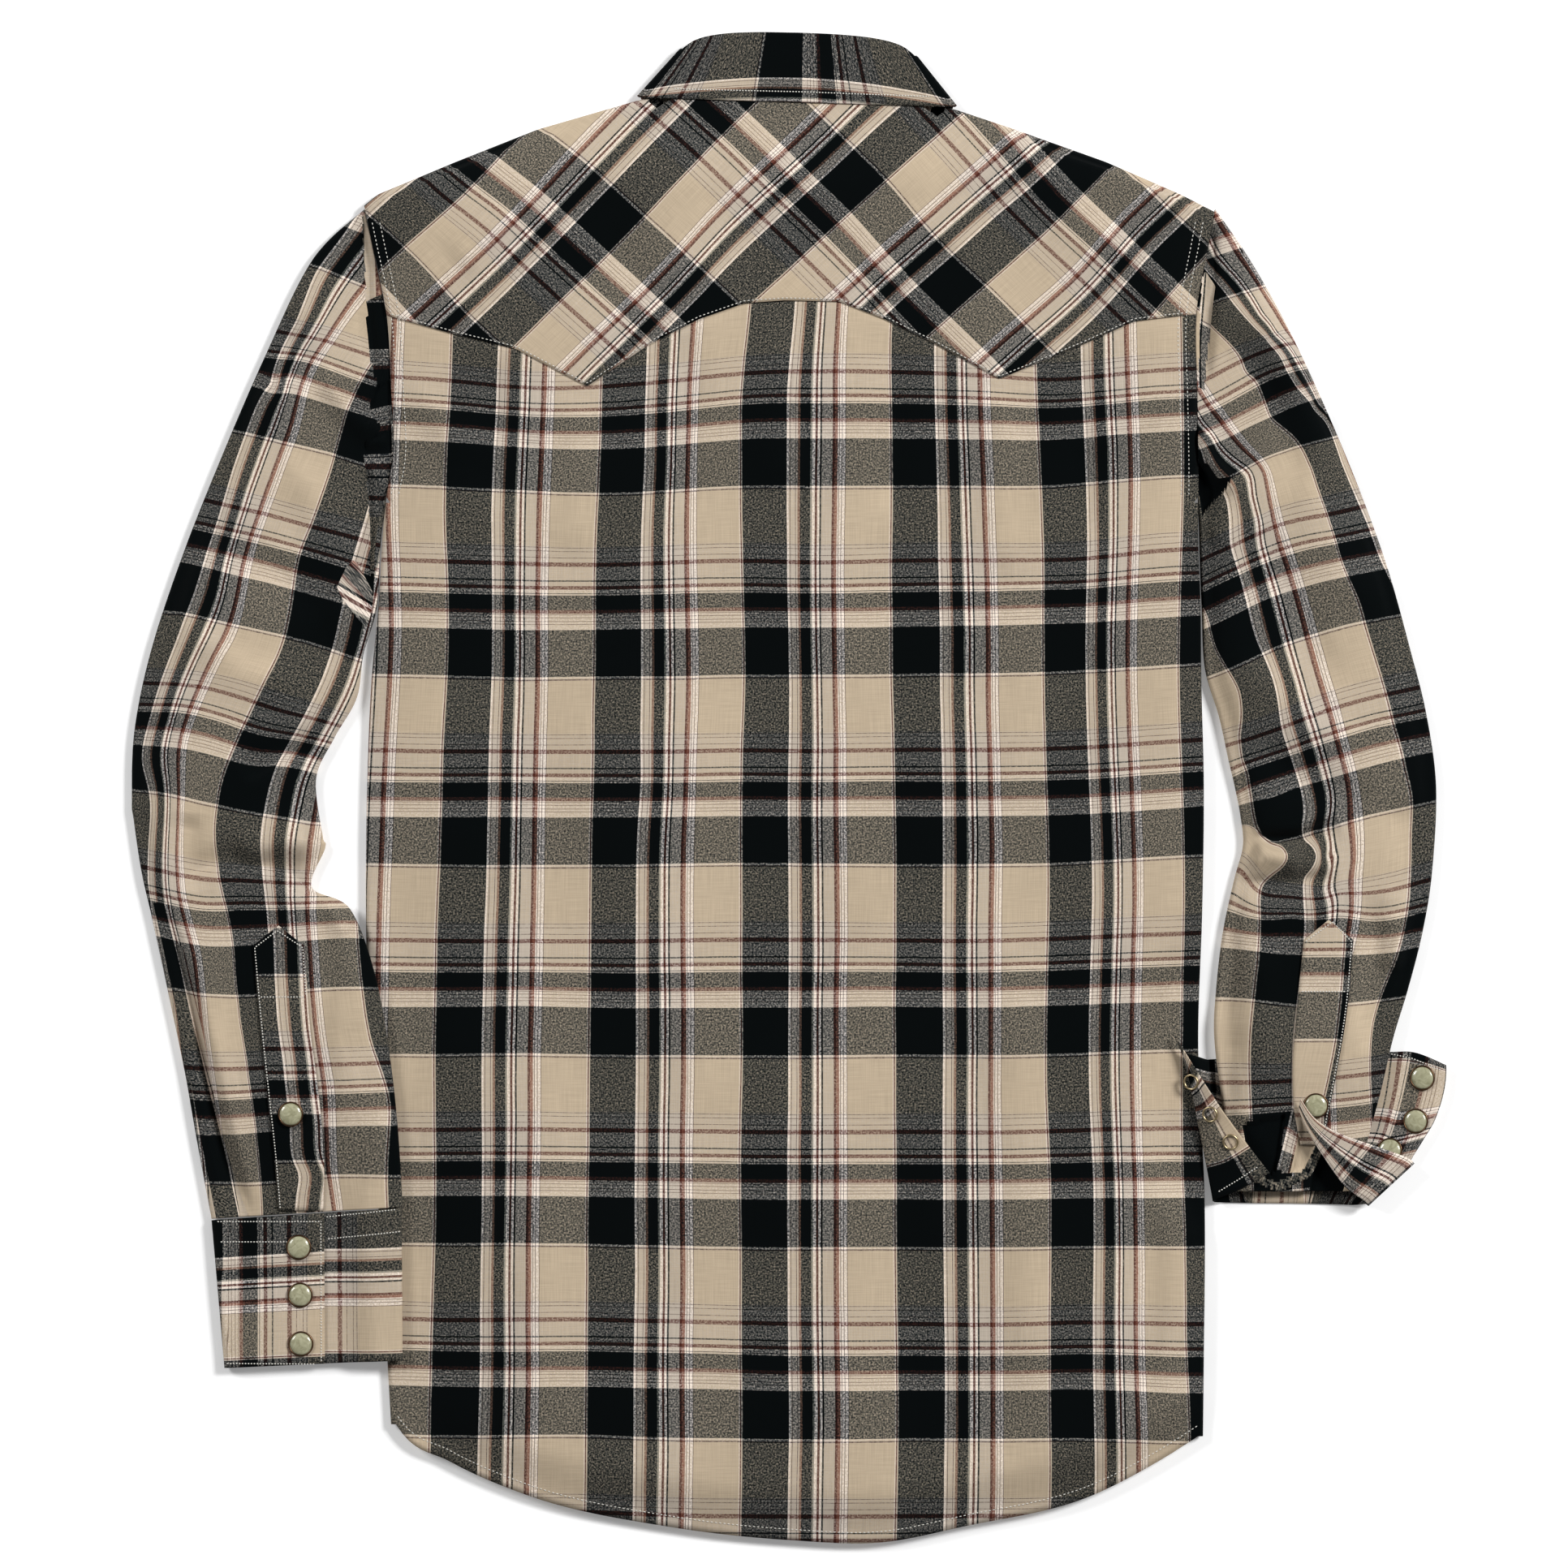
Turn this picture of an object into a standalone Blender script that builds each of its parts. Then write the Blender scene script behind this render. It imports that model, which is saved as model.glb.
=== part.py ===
"""Western snap shirt, laid out flat on its front.

The shirt lies back side up on the plane z = 0. +X runs to the wearer's right,
+Y to the collar, +Z up from the surface. All sizes below are millimetres.
Each piece that is cut and sewn is one object: an open surface, given its wall
by Solidify. Each side of the body is folded under, so four layers lie there:
back, front, and the turned-under strips of the front and of the back.
"""

import math

import bmesh
import bpy
from mathutils import Vector

MM = 0.001

# ---- cloth and layers -------------------------------------------------------
WALL = 1.2              # thickness of every cloth wall
SEAM_GAP = 0.3          # between two pieces, edge to edge
LAYER = 1.5             # from the middle of one layer to the middle of the next
FLOOR_Z = 0.6           # middle of the layer that rests on the surface
BACK_Z = 5.5            # middle of the back and yoke
SLEEVE_LOFT = 4.6       # from the lower to the upper wall of a sleeve or cuff

# ---- body -------------------------------------------------------------------
UNDERARM_Y = 153.8      # lower end of both armholes
FOLDED_UNDER = 50.0     # width of body turned under at each side
FOLD_Z = 3.05           # height of the axis of the side folds
BACK_FOLD_R = 2.45      # side fold of the back, middle of the wall
FRONT_FOLD_R = 0.95     # side fold of the front, inside it
SHOULDER_TURN = 14.0    # yoke turned over the shoulder to the front seam
CENTRE_X = 4.4          # centre front, centre back and neck
NECK_Y = 370.7          # lower edge of the collar fall at the centre back
NECK_TILT = math.radians(-1.74)
NECK_HALF = 80.0        # half width of the neck opening at the shoulders
FRONT_OVERLAP = 15.0    # each front past the centre
FRONT_HEM_RISE = 10.0   # front hem above the back hem
OVERLAP_Z = (2.5, 4.0)  # left and right front at the snaps
EDGE_GAP = 0.2          # back and yoke inside their outline at the armholes
FRONT_EDGE_GAP = 0.8    # the same for the fronts
SHOULDER_SEAM = 0.7     # from the yoke's turned edge to the fronts
TIP_FROM = 220.0        # the shoulder seam runs straight past this to its tip
FOLD_INSET = BACK_FOLD_R + WALL / 2
STRIP_START = 14.0      # width turned under just below the underarm
OVER_BODY = 6.6         # rise of a layer that lies on the body's side edge
WRIST_RISE = LAYER      # the right sleeve's end lies on its turned-back cuff
COLLAR_AXIS_Z = 3.8     # height about which the collar turns at its sides
STAND_TURN = 1.7        # half the height of the flattened stand
FALL_TURN = (3.6, 3.2)  # the same for the fall, above and below the axis
ROLL_RISE = 0.9         # from the stand's top to where the fall begins to roll
PLACKET_POINT = 11.0    # rise of a placket's point above its shoulders
UNDERLAP = 24.0         # width of the cuff's underlap that its overlap covers

# Ranges over which a height or a width changes: from none at the first distance
# to all at the second. Those across are from the centre or in from the side.
OVER_EDGE = (-24.0, -3.0)           # rise onto the body's side edge
OVER_STRIPS = (86.0, 62.0)          # fronts rise over the turned-under strips
OVER_SNAPS = (35.0, 23.0)           # fronts rise over the front snaps
OVER_COLLAR_X = (126.0, 102.0)      # fronts rise over the collar points
OVER_COLLAR_Y = (-184.0, -154.0)    # the same, from the neck down
STRIP_WIDENS = (0.0, 60.0)          # turned-under strips, from the underarm down
BACK_FREE_SIDE = (72.0, 88.0)       # the back can sink in its folds
BACK_FREE_CENTRE = (34.0, 48.0)

# ---- snaps ------------------------------------------------------------------
CAP_R = 6.7
CAP_HEIGHT = 2.4
FRONT_CAP_HEIGHT = 1.6
SOCKET_R = 5.6
SOCKET_HEIGHT = 1.6
FRONT_SNAP_PITCH = 85.0
FRONT_SNAPS = 7
NECK_SNAP_Y = NECK_Y - 61.0
FIRST_SNAP_Y = NECK_Y - 112.0
SNAP_SIDES = 12

# ---- fineness of the surfaces -----------------------------------------------
BACK_COLUMNS = 30
ROWS_ABOVE = 4          # rows of the back from the yoke to the underarm
ROWS_BELOW = 10         # and from there to the hem
YOKE_ROWS = 4
SHOULDER_ARC = (-90, -45, 0, 45, 90)
SLEEVE_TOP_POINTS = 12
SLEEVE_LOW_POINTS = 8
SLEEVE_Z = FLOOR_Z + 0.1   # lower wall of a sleeve: its folds reach a little lower
FRONT_SIDE_COLUMNS = 9  # columns of a front from the corner of the neck to the side
STAND_PARTS = (0.02, 0.5, 0.97)
CUFF_HEIGHTS = (0.0, 0.27, 0.5, 0.75, 1.0)


def table(columns, *rows):
    """Rows of numbers as dictionaries with named columns."""
    names = columns.split()
    return [dict(zip(names, row)) for row in rows]


# The body's edges from the shoulder tips down: armhole, then side fold.
BODY_EDGES = table(
    "y left right",
    (314.0, -230.0, 231.0),
    (295.0, -226.0, 227.5),
    (255.5, -218.0, 220.5),
    (215.0, -215.5, 221.0),
    (176.0, -214.7, 221.8),
    (153.8, -218.7, 221.8),
    (136.0, -220.2, 221.8),
    (101.0, -222.2, 223.0),
    (57.0, -226.2, 223.5),
    (4.0, -228.4, 224.8),
    (-66.0, -229.2, 224.0),
    (-137.0, -227.5, 221.8),
    (-225.0, -222.6, 225.3),
    (-313.0, -217.4, 224.8),
    (-352.0, -215.2, 224.4),
)

# Shirt-tail hem of the back, left to right.
HEM = table(
    "x y",
    (-216.0, -340.0),
    (-211.0, -348.0),
    (-183.5, -365.4),
    (-143.4, -383.0),
    (-65.6, -400.6),
    (0.0, -407.9),
    (50.0, -409.2),
    (94.6, -400.6),
    (165.9, -383.0),
    (199.8, -365.4),
    (224.4, -350.0),
)

# Lower edge of the yoke, left to right, with its two points.
YOKE_EDGE = table(
    "x y",
    (-218.0, 255.4),
    (-181.0, 245.0),
    (-148.0, 237.0),
    (-109.0, 216.7),
    (-75.0, 239.6),
    (-48.0, 253.2),
    (-24.0, 261.6),
    (-2.6, 263.1),
    (27.3, 262.5),
    (51.5, 253.2),
    (79.0, 239.6),
    (114.0, 220.7),
    (160.0, 239.6),
    (187.0, 251.9),
    (220.5, 255.9),
)

YOKE_POINTS_X = (-109.0, 114.0)

# Upper edge of the yoke from the centre back to the corner of the neck.
YOKE_NECK = table(
    "x y",
    (0.0, 2.9),
    (62.0, 2.4),
    (70.0, -1.5),
    (76.0, -5.5),
    (80.0, -7.0),
)

# Shoulder folds, left to right; the neck lies between -75.6 and 84.4.
SHOULDER = table(
    "x y",
    (-230.6, 314.4),
    (-222.6, 321.0),
    (-180.4, 338.6),
    (-136.0, 356.2),
    (-82.6, 371.6),
    (-75.6, 373.0),
    (84.4, 368.2),
    (91.4, 366.5),
    (122.3, 356.2),
    (171.6, 338.6),
    (212.1, 321.0),
    (231.0, 311.3),
)

# Half of the collar, in millimetres from the neck centre: from the centre back
# (first row) to the side, at the side, and from there to the centre front.
# seam is sewn to the body, top is the fold, edge is the free edge of the fall.
COLLAR_BACK = table(
    "seam_x seam_y top_x top_y edge_x edge_y",
    (0.0, 3.0, 0.0, 35.6, 0.0, 0.0),
    (25.0, 3.0, 23.0, 35.2, 29.0, 0.0),
    (46.0, 3.0, 42.0, 33.6, 56.0, 0.0),
    (62.0, 2.6, 55.0, 30.2, 76.0, 0.0),
)
COLLAR_SIDE = table(
    "seam_x seam_y top_x top_y edge_x edge_y",
    (72.6, -1.0, 62.0, 24.0, 83.3, -0.6),
)[0]
COLLAR_TURNS = (65.0, 35.0, 0.0, -35.0, -65.0)
COLLAR_FRONT = table(
    "seam_x seam_y top_x top_y edge_x edge_y",
    (69.0, -15.0, 58.0, 10.0, 81.5, -14.0),
    (58.0, -38.0, 46.0, -10.0, 76.0, -46.0),
    (36.0, -63.0, 29.0, -33.0, 63.0, -85.0),
    (20.0, -73.0, 17.0, -43.0, 50.0, -112.0),
)
STAND_PAST_CENTRE = {"seam": (-12.0, -77.0), "top": (-12.0, -46.0)}

# Sleeves, armhole (computed) to wrist: the ends of each flattened ring. hook is
# how far the ring turns level before its inner end. lift marks the rings that
# lie on something: the body's edge, or the turned-back cuff.
LEFT_SLEEVE = table(
    "outer_x outer_y inner_x inner_y hook lift",
    (-257.8, 285.8, -225.4, 128.0, 32, 0),
    (-283.8, 233.0, -226.8, 98.0, 38, 0),
    (-306.7, 180.2, -231.4, 70.0, 28, 0),
    (-327.8, 127.4, -234.1, 48.2, 14, 0),
    (-345.4, 74.6, -246.4, 26.2, 0, 0),
    (-354.6, 30.6, -256.1, 4.2, 0, 0),
    (-356.0, -6.8, -252.6, -26.6, 0, 0),
    (-352.4, -33.2, -255.6, -48.6, 0, 0),
    (-345.4, -69.7, -237.6, -66.2, 0, 1),
    (-336.6, -110.2, -224.0, -101.4, 0, 1),
    (-327.4, -154.2, -216.0, -145.4, 0, 1),
    (-320.8, -191.6, -211.6, -185.0, 0, 1),
    (-312.8, -234.0, -209.0, -227.3, 0, 1),
)
RIGHT_SLEEVE = table(
    "outer_x outer_y inner_x inner_y hook lift",
    (249.5, 285.8, 225.6, 128.0, 28, 0),
    (269.3, 250.6, 226.4, 96.0, 34, 0),
    (290.0, 206.6, 228.4, 66.0, 34, 0),
    (308.4, 162.6, 233.6, 38.0, 26, 0),
    (324.3, 118.6, 238.0, 15.2, 16, 0),
    (336.6, 74.6, 241.6, -0.2, 8, 0),
    (345.4, 39.4, 244.6, -15.6, 0, 0),
    (350.7, -0.2, 246.0, -31.9, 0, 0),
    (348.5, -46.4, 241.1, -50.8, 0, 0),
    (343.2, -79.4, 235.0, -79.4, 0, 0),
    (335.3, -110.2, 231.4, -110.2, 0, 0),
    (327.4, -136.0, 230.4, -136.0, 0, 1),
    (317.4, -167.4, 234.6, -171.8, 0, 1),
    (301.0, -219.0, 239.5, -219.0, 0, 1),
)

# Folds, as soft troughs along a line: half width and depth.
BACK_FOLDS = table(
    "x0 y0 x1 y1 width depth",
    (-109.0, 225.0, -116.0, 120.0, 26.0, 1.6),
    (-55.0, 240.0, -60.0, 60.0, 20.0, 1.2),
    (62.0, 240.0, 66.0, 100.0, 20.0, 1.4),
    (114.0, 225.0, 112.0, 60.0, 26.0, 1.6),
    (-128.0, -120.0, -150.0, -330.0, 26.0, 1.2),
    (95.0, -60.0, 120.0, -340.0, 26.0, 1.2),
)
LEFT_SLEEVE_FOLDS = table(
    "x0 y0 x1 y1 width depth",
    (-228.0, 175.0, -262.0, 95.0, 15.0, 2.0),
    (-240.0, 60.0, -268.0, 30.0, 15.0, 2.0),
    (-262.0, 6.0, -318.0, 16.0, 16.0, 2.0),
    (-258.0, -38.0, -306.0, -40.0, 16.0, 2.2),
    (-270.0, -62.0, -330.0, -88.0, 14.0, 1.8),
    (-313.0, -226.0, -333.0, -100.0, 8.0, 1.8),
    (-296.0, -226.0, -322.0, -120.0, 8.0, 1.8),
    (-228.0, -110.0, -222.0, -215.0, 12.0, 1.5),
)
RIGHT_SLEEVE_FOLDS = table(
    "x0 y0 x1 y1 width depth",
    (232.0, 190.0, 258.0, 108.0, 14.0, 2.0),
    (240.0, 62.0, 262.0, 96.0, 13.0, 2.0),
    (250.0, -30.0, 278.0, -36.0, 15.0, 2.4),
    (272.0, -36.0, 284.0, 60.0, 12.0, 1.6),
    (244.0, -62.0, 300.0, -66.0, 14.0, 1.6),
    (310.0, 190.0, 330.0, 80.0, 16.0, 1.5),
    (300.0, -130.0, 318.0, -60.0, 12.0, 1.5),
)

# Left cuff: its four corners, and where the snapped overlap ends.
LEFT_CUFF = {
    "left_top": (-312.8, -234.8), "left_bottom": (-305.8, -314.8),
    "right_top": (-209.6, -228.1), "right_bottom": (-209.0, -310.4),
    "overlap_top": (-251.7, -230.8), "overlap_bottom": (-251.2, -312.6),
}

# Right cuff, turned back and open, from the socket end round under the sleeve
# to the cap end. fold is at the wrist, edge is the cuff's free long edge.
RIGHT_CUFF = table(
    "fold_x fold_y fold_z mid_x mid_y mid_z edge_x edge_y edge_z",
    (260.0, -208.8, 11.0, 234.0, -174.5, 17.0, 209.0, -134.9, 9.6),
    (244.0, -218.0, 10.0, 227.0, -180.0, 13.5, 211.0, -139.0, 9.4),
    (231.0, -223.3, 7.4, 221.6, -181.8, 9.8, 214.5, -143.7, 9.2),
    (230.6, -224.8, 4.6, 225.6, -183.4, 8.0, 221.2, -146.0, 8.4),
    (232.6, -225.2, 2.2, 229.0, -184.1, 3.6, 226.4, -147.7, 3.6),
    (238.6, -225.4, 0.6, 232.3, -185.0, 0.6, 230.2, -147.6, 0.6),
    (252.1, -225.6, 0.6, 254.3, -185.0, 0.6, 254.3, -146.7, 0.6),
    (276.3, -225.8, 0.6, 280.7, -185.0, 0.6, 285.1, -145.4, 0.6),
    (298.3, -226.4, 0.6, 318.1, -185.9, 0.6, 325.6, -143.7, 0.6),
    (305.5, -226.6, 1.6, 329.0, -188.0, 1.6, 339.9, -144.1, 2.4),
    (312.4, -225.9, 4.0, 348.9, -182.8, 4.6, 356.0, -150.7, 5.0),
)
# The cap end's lower corner folds back up over the sleeve and ends in a point.
RIGHT_CUFF_TONGUE = table(
    "low_x low_y low_z high_x high_y high_z",
    (313.6, -226.6, 8.0, 338.4, -203.6, 8.6),
    (310.6, -223.7, 12.0, 334.0, -200.4, 12.2),
    (300.5, -216.0, 12.6, 318.1, -193.8, 12.6),
    (287.3, -197.3, 12.9, 296.1, -183.3, 12.9),
    (276.3, -176.2, 12.9, 277.8, -171.0, 12.9),
)

TONGUE_CORNER = (336.6, -202.6, 4.6)

# Tower plackets: edges from the shoulders of the point down to the wrist.
LEFT_PLACKET = table(
    "y left right",
    (-86.0, -290.0, -262.2),
    (-133.5, -285.6, -258.7),
    (-167.0, -282.0, -254.3),
    (-200.4, -278.5, -251.6),
    (-229.4, -276.2, -252.1),
)
RIGHT_PLACKET = table(
    "y left right",
    (-82.9, 278.5, 305.4),
    (-118.1, 275.0, 302.3),
    (-159.5, 272.4, 295.4),
    (-175.3, 273.4, 292.4),
    (-194.0, 277.0, 289.5),
)

LEFT_CUFF_SNAPS = ((-265.4, -249.3), (-264.6, -275.2), (-264.2, -301.6))
LEFT_PLACKET_SNAP = (-269.5, -177.1)
RIGHT_PLACKET_SNAP = (285.1, -172.5)
RIGHT_CUFF_CAPS = ((343.2, -157.7), (339.6, -181.1), (325.6, -197.0))
RIGHT_CUFF_SOCKETS = (0.30, 0.52, 0.76)   # fractions up the cuff's socket end

# Half profile of a snap, as fractions of its radius and height.
DOME = ((0.0, 1.0), (0.78, 0.8), (1.0, 0.3), (0.97, 0.0), (0.0, 0.0))

CLOTH = (0.33, 0.27, 0.20)
YOKE_CLOTH = (0.25, 0.21, 0.17)
PEARL = (0.42, 0.40, 0.29)
METAL = (0.35, 0.24, 0.12)


# ---- small tools ------------------------------------------------------------
def smooth(value):
    """0 to 1 with soft ends."""
    value = min(max(value, 0.0), 1.0)
    return value * value * (3.0 - 2.0 * value)


def ramp(value, limits):
    """0 to 1 from the first limit to the second."""
    first, second = limits
    return smooth((value - first) / (second - first))


def lookup(rows, key, column, value):
    """A column of a table at a value of its key, straight between rows."""
    ordered = sorted(rows, key=lambda row: row[key])
    if value <= ordered[0][key]:
        return ordered[0][column]
    for low, high in zip(ordered, ordered[1:]):
        if value <= high[key]:
            part = (value - low[key]) / (high[key] - low[key])
            return low[column] + part * (high[column] - low[column])
    return ordered[-1][column]


def spread(first, last, count):
    """Evenly spaced values from first to last."""
    return [first + (last - first) * i / (count - 1) for i in range(count)]


def mix(a, b, part):
    """Between two places."""
    return tuple(p + (q - p) * part for p, q in zip(a, b))


def trough(folds, x, y):
    """Depth of the folds at a place: the deepest one counts."""
    depth = 0.0
    for fold in folds:
        ax, ay = fold["x0"], fold["y0"]
        dx, dy = fold["x1"] - ax, fold["y1"] - ay
        along = ((x - ax) * dx + (y - ay) * dy) / (dx * dx + dy * dy)
        along = min(max(along, 0.0), 1.0)
        away = math.hypot(x - ax - along * dx, y - ay - along * dy)
        if away < fold["width"]:
            depth = max(depth, fold["depth"] * (1.0 - (away / fold["width"]) ** 2) ** 2)
    return depth


def material(name, colour, roughness=0.9, metallic=0.0):
    made = bpy.data.materials.new(name)
    made.use_nodes = True
    shader = made.node_tree.nodes["Principled BSDF"]
    shader.inputs["Base Color"].default_value = (*colour, 1.0)
    shader.inputs["Roughness"].default_value = roughness
    shader.inputs["Metallic"].default_value = metallic
    return made


def cloth(name, rows, colour, keep=None, closed=False, tongue=None):
    """A cloth piece: a surface through rows of points, with a wall by Solidify.

    keep says which cells of the grid are cloth. tongue gives more rows of two
    points that go on from the end of the first two rows.
    """
    form = bmesh.new()
    grid = [[form.verts.new(Vector(point) * MM) for point in row] for row in rows]
    count = len(rows[0])
    for r in range(len(rows) - 1):
        for c in range(count if closed else count - 1):
            if keep is None or keep(r, c):
                d = (c + 1) % count
                form.faces.new((grid[r][c], grid[r][d], grid[r + 1][d], grid[r + 1][c]))
    if tongue:
        low, high = grid[0][-1], grid[1][-1]
        for low_point, high_point in tongue:
            next_low = form.verts.new(Vector(low_point) * MM)
            next_high = form.verts.new(Vector(high_point) * MM)
            form.faces.new((low, next_low, next_high, high))
            low, high = next_low, next_high
    loose = [vert for vert in form.verts if not vert.link_faces]
    bmesh.ops.delete(form, geom=loose, context='VERTS')
    bmesh.ops.recalc_face_normals(form, faces=form.faces)
    mesh = bpy.data.meshes.new(name)
    form.to_mesh(mesh)
    form.free()
    piece = bpy.data.objects.new(name, mesh)
    shirt.objects.link(piece)
    wall = piece.modifiers.new("wall", 'SOLIDIFY')
    wall.thickness = WALL * MM
    wall.offset = 0.0
    wall.use_even_offset = True
    mesh.materials.append(material(name, colour))
    mesh.shade_smooth()
    return piece


# ---- the body's surfaces ----------------------------------------------------
def body_edge(side, y):
    """x of the body's outline at the left (-1) or right (1)."""
    return lookup(BODY_EDGES, "y", "left" if side < 0 else "right", y)


def lift(x, y):
    """How far a layer rises to lie over the body's side edge instead of beside it."""
    side = -1 if x < CENTRE_X else 1
    inside = (body_edge(side, y) - x) * side
    return OVER_BODY * ramp(inside, OVER_EDGE)


def neck_place(side, x, y):
    """A place of the collar tables in the shirt's frame."""
    x *= side
    turned_x = x * math.cos(NECK_TILT) - y * math.sin(NECK_TILT)
    turned_y = x * math.sin(NECK_TILT) + y * math.cos(NECK_TILT)
    return CENTRE_X + turned_x, NECK_Y + turned_y


def shoulder_y(x):
    return lookup(SHOULDER, "x", "y", x)


def turned_edge_y(x):
    """Edge of the yoke below the shoulder, sewn to the fronts."""
    return shoulder_y(x) - SHOULDER_TURN


def from_centre(x):
    return abs(x - CENTRE_X)


def is_neck(x):
    return from_centre(x) < NECK_HALF - 0.1


def back_neck_y(x):
    """Upper edge of the yoke under the collar."""
    tilt = (x - CENTRE_X) * math.tan(NECK_TILT)
    return NECK_Y + tilt + lookup(YOKE_NECK, "x", "y", from_centre(x))


def neckline(side):
    """The line on which the stand is sewn to a front, from the centre outward."""
    points = [neck_place(side, *STAND_PAST_CENTRE["seam"])]
    points += [neck_place(side, row["seam_x"], row["seam_y"]) for row in COLLAR_FRONT[::-1]]
    return [{"x": x, "y": y} for x, y in points]


def front_top(side):
    """Upper edge of a front: the neckline, then the seam to the yoke."""
    line = neckline(side)

    def top_y(x):
        if is_neck(x):
            return lookup(line, "x", "y", x) - SEAM_GAP
        tip = SHOULDER[0] if side < 0 else SHOULDER[-1]
        straight = [row for row in SHOULDER if row is tip or from_centre(row["x"]) < TIP_FROM]
        return lookup(straight, "x", "y", x) - SHOULDER_TURN - SHOULDER_SEAM
    return top_y


def hem_y(x):
    return lookup(HEM, "x", "y", x)


def yoke_edge_y(x):
    return lookup(YOKE_EDGE, "x", "y", x)


def under_z(x, y):
    """Height of the lowest layer, raised where the collar points lie beneath it."""
    over_points = ramp(from_centre(x), OVER_COLLAR_X) * ramp(y - NECK_Y, OVER_COLLAR_Y)
    return FLOOR_Z + LAYER * over_points


def back_z(x, y):
    """The back sinks in its folds, but not over the side strips or the snaps."""
    inside = min(x - body_edge(-1, y), body_edge(1, y) - x)
    free = ramp(inside, BACK_FREE_SIDE) * ramp(from_centre(x), BACK_FREE_CENTRE)
    return BACK_Z - free * trough(BACK_FOLDS, x, y)


def front_z(side, x, y):
    """Height of a front: on the surface, over the side strips, or at the snaps."""
    z = under_z(x, y)
    inside = (x - body_edge(side, y)) * -side
    if y <= UNDERARM_Y + 1.0:
        z += (FOLD_Z + FRONT_FOLD_R - z) * ramp(inside, OVER_STRIPS)
    overlap_z = OVERLAP_Z[0] if side < 0 else OVERLAP_Z[1]
    return z + (overlap_z - z) * ramp(from_centre(x), OVER_SNAPS)


def side_fold(side, y, radius):
    """Points from the side seam out to the fold and round it, at one height."""
    edge_x = body_edge(side, y)
    width = STRIP_START + (FOLDED_UNDER - STRIP_START) * ramp(UNDERARM_Y - y, STRIP_WIDENS)
    axis = edge_x - side * FOLD_INSET
    points = [(edge_x - side * width * part, y, FOLD_Z - radius) for part in (1.0, 0.55)]
    for degrees in (-90, -45, 0, 45):
        angle = math.radians(degrees)
        points.append((axis + side * radius * math.cos(angle), y,
                       FOLD_Z + radius * math.sin(angle)))
    return points


def across_back(part, y, inset):
    """x at a fraction of the way across the body."""
    left = body_edge(-1, y) + inset
    return left + part * (body_edge(1, y) - inset - left)


def across_front(side):
    """The same for a front, from its edge past the centre to the side."""
    def across(part, y, inset):
        first = CENTRE_X - side * FRONT_OVERLAP
        return first + part * (body_edge(side, y) - side * inset - first)
    return across


def settle(across, part, line, inset, y=300.0):
    """y where a column of cloth meets a line across the body."""
    for _ in range(8):
        y = line(across(part, y, inset))
    return y


def heights(top, bottom, above, below):
    """y of a column's rows, with one row at the underarm."""
    return spread(top, UNDERARM_Y, above)[:-1] + spread(UNDERARM_Y, bottom, below)


# ---- body pieces ------------------------------------------------------------
def back_parts():
    """Fractions across the back, with one at each corner of the yoke's two edges."""
    corners = [(x, yoke_edge_y(x)) for x in YOKE_POINTS_X]
    corners += [(CENTRE_X + side * row["x"], NECK_Y)
                for side in (-1, 1) for row in YOKE_NECK[1:]]
    fixed = []
    for x, y in corners:
        left, right = across_back(0.0, y, EDGE_GAP), across_back(1.0, y, EDGE_GAP)
        fixed.append((x - left) / (right - left))
    apart = 0.45 / BACK_COLUMNS
    even = [part for part in spread(0.0, 1.0, BACK_COLUMNS)
            if all(abs(part - corner) > apart for corner in fixed)]
    return sorted(even + fixed)


def front_parts(side):
    """Fractions across a front: at the corners of its neckline, then even to the side."""
    first = CENTRE_X - side * FRONT_OVERLAP
    corners = [(row["x"], row["y"]) for row in neckline(side)[1:]]
    corners = [(CENTRE_X, NECK_Y)] + corners + [(CENTRE_X + side * NECK_HALF, NECK_Y)]
    parts = [(x - first) / (body_edge(side, y) - side * FRONT_EDGE_GAP - first)
             for x, y in corners]
    return [0.0] + parts + spread(parts[-1], 1.0, FRONT_SIDE_COLUMNS)[1:]


def make_back():
    fractions = back_parts()
    columns = []
    for part in fractions:
        top = settle(across_back, part, yoke_edge_y, EDGE_GAP) - SEAM_GAP
        bottom = settle(across_back, part, hem_y, FOLD_INSET, -350.0)
        columns.append(heights(top, bottom, ROWS_ABOVE, ROWS_BELOW))
    rows = []
    for r in range(len(columns[0])):
        inset = EDGE_GAP if r < ROWS_ABOVE - 1 else FOLD_INSET
        top_row = []
        for c, part in enumerate(fractions):
            y = columns[c][r]
            x = across_back(part, y, inset)
            top_row.append((x, y, back_z(x, y)))
        left = side_fold(-1, columns[0][r], BACK_FOLD_R)
        right = side_fold(1, columns[-1][r], BACK_FOLD_R)
        rows.append(left + top_row + right[::-1])
    turned = len(left)
    last = len(rows[0]) - 1

    def is_cloth(r, c):
        return r >= ROWS_ABOVE - 1 or turned <= c < last - turned
    cloth("back", rows, CLOTH, keep=is_cloth)


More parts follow.
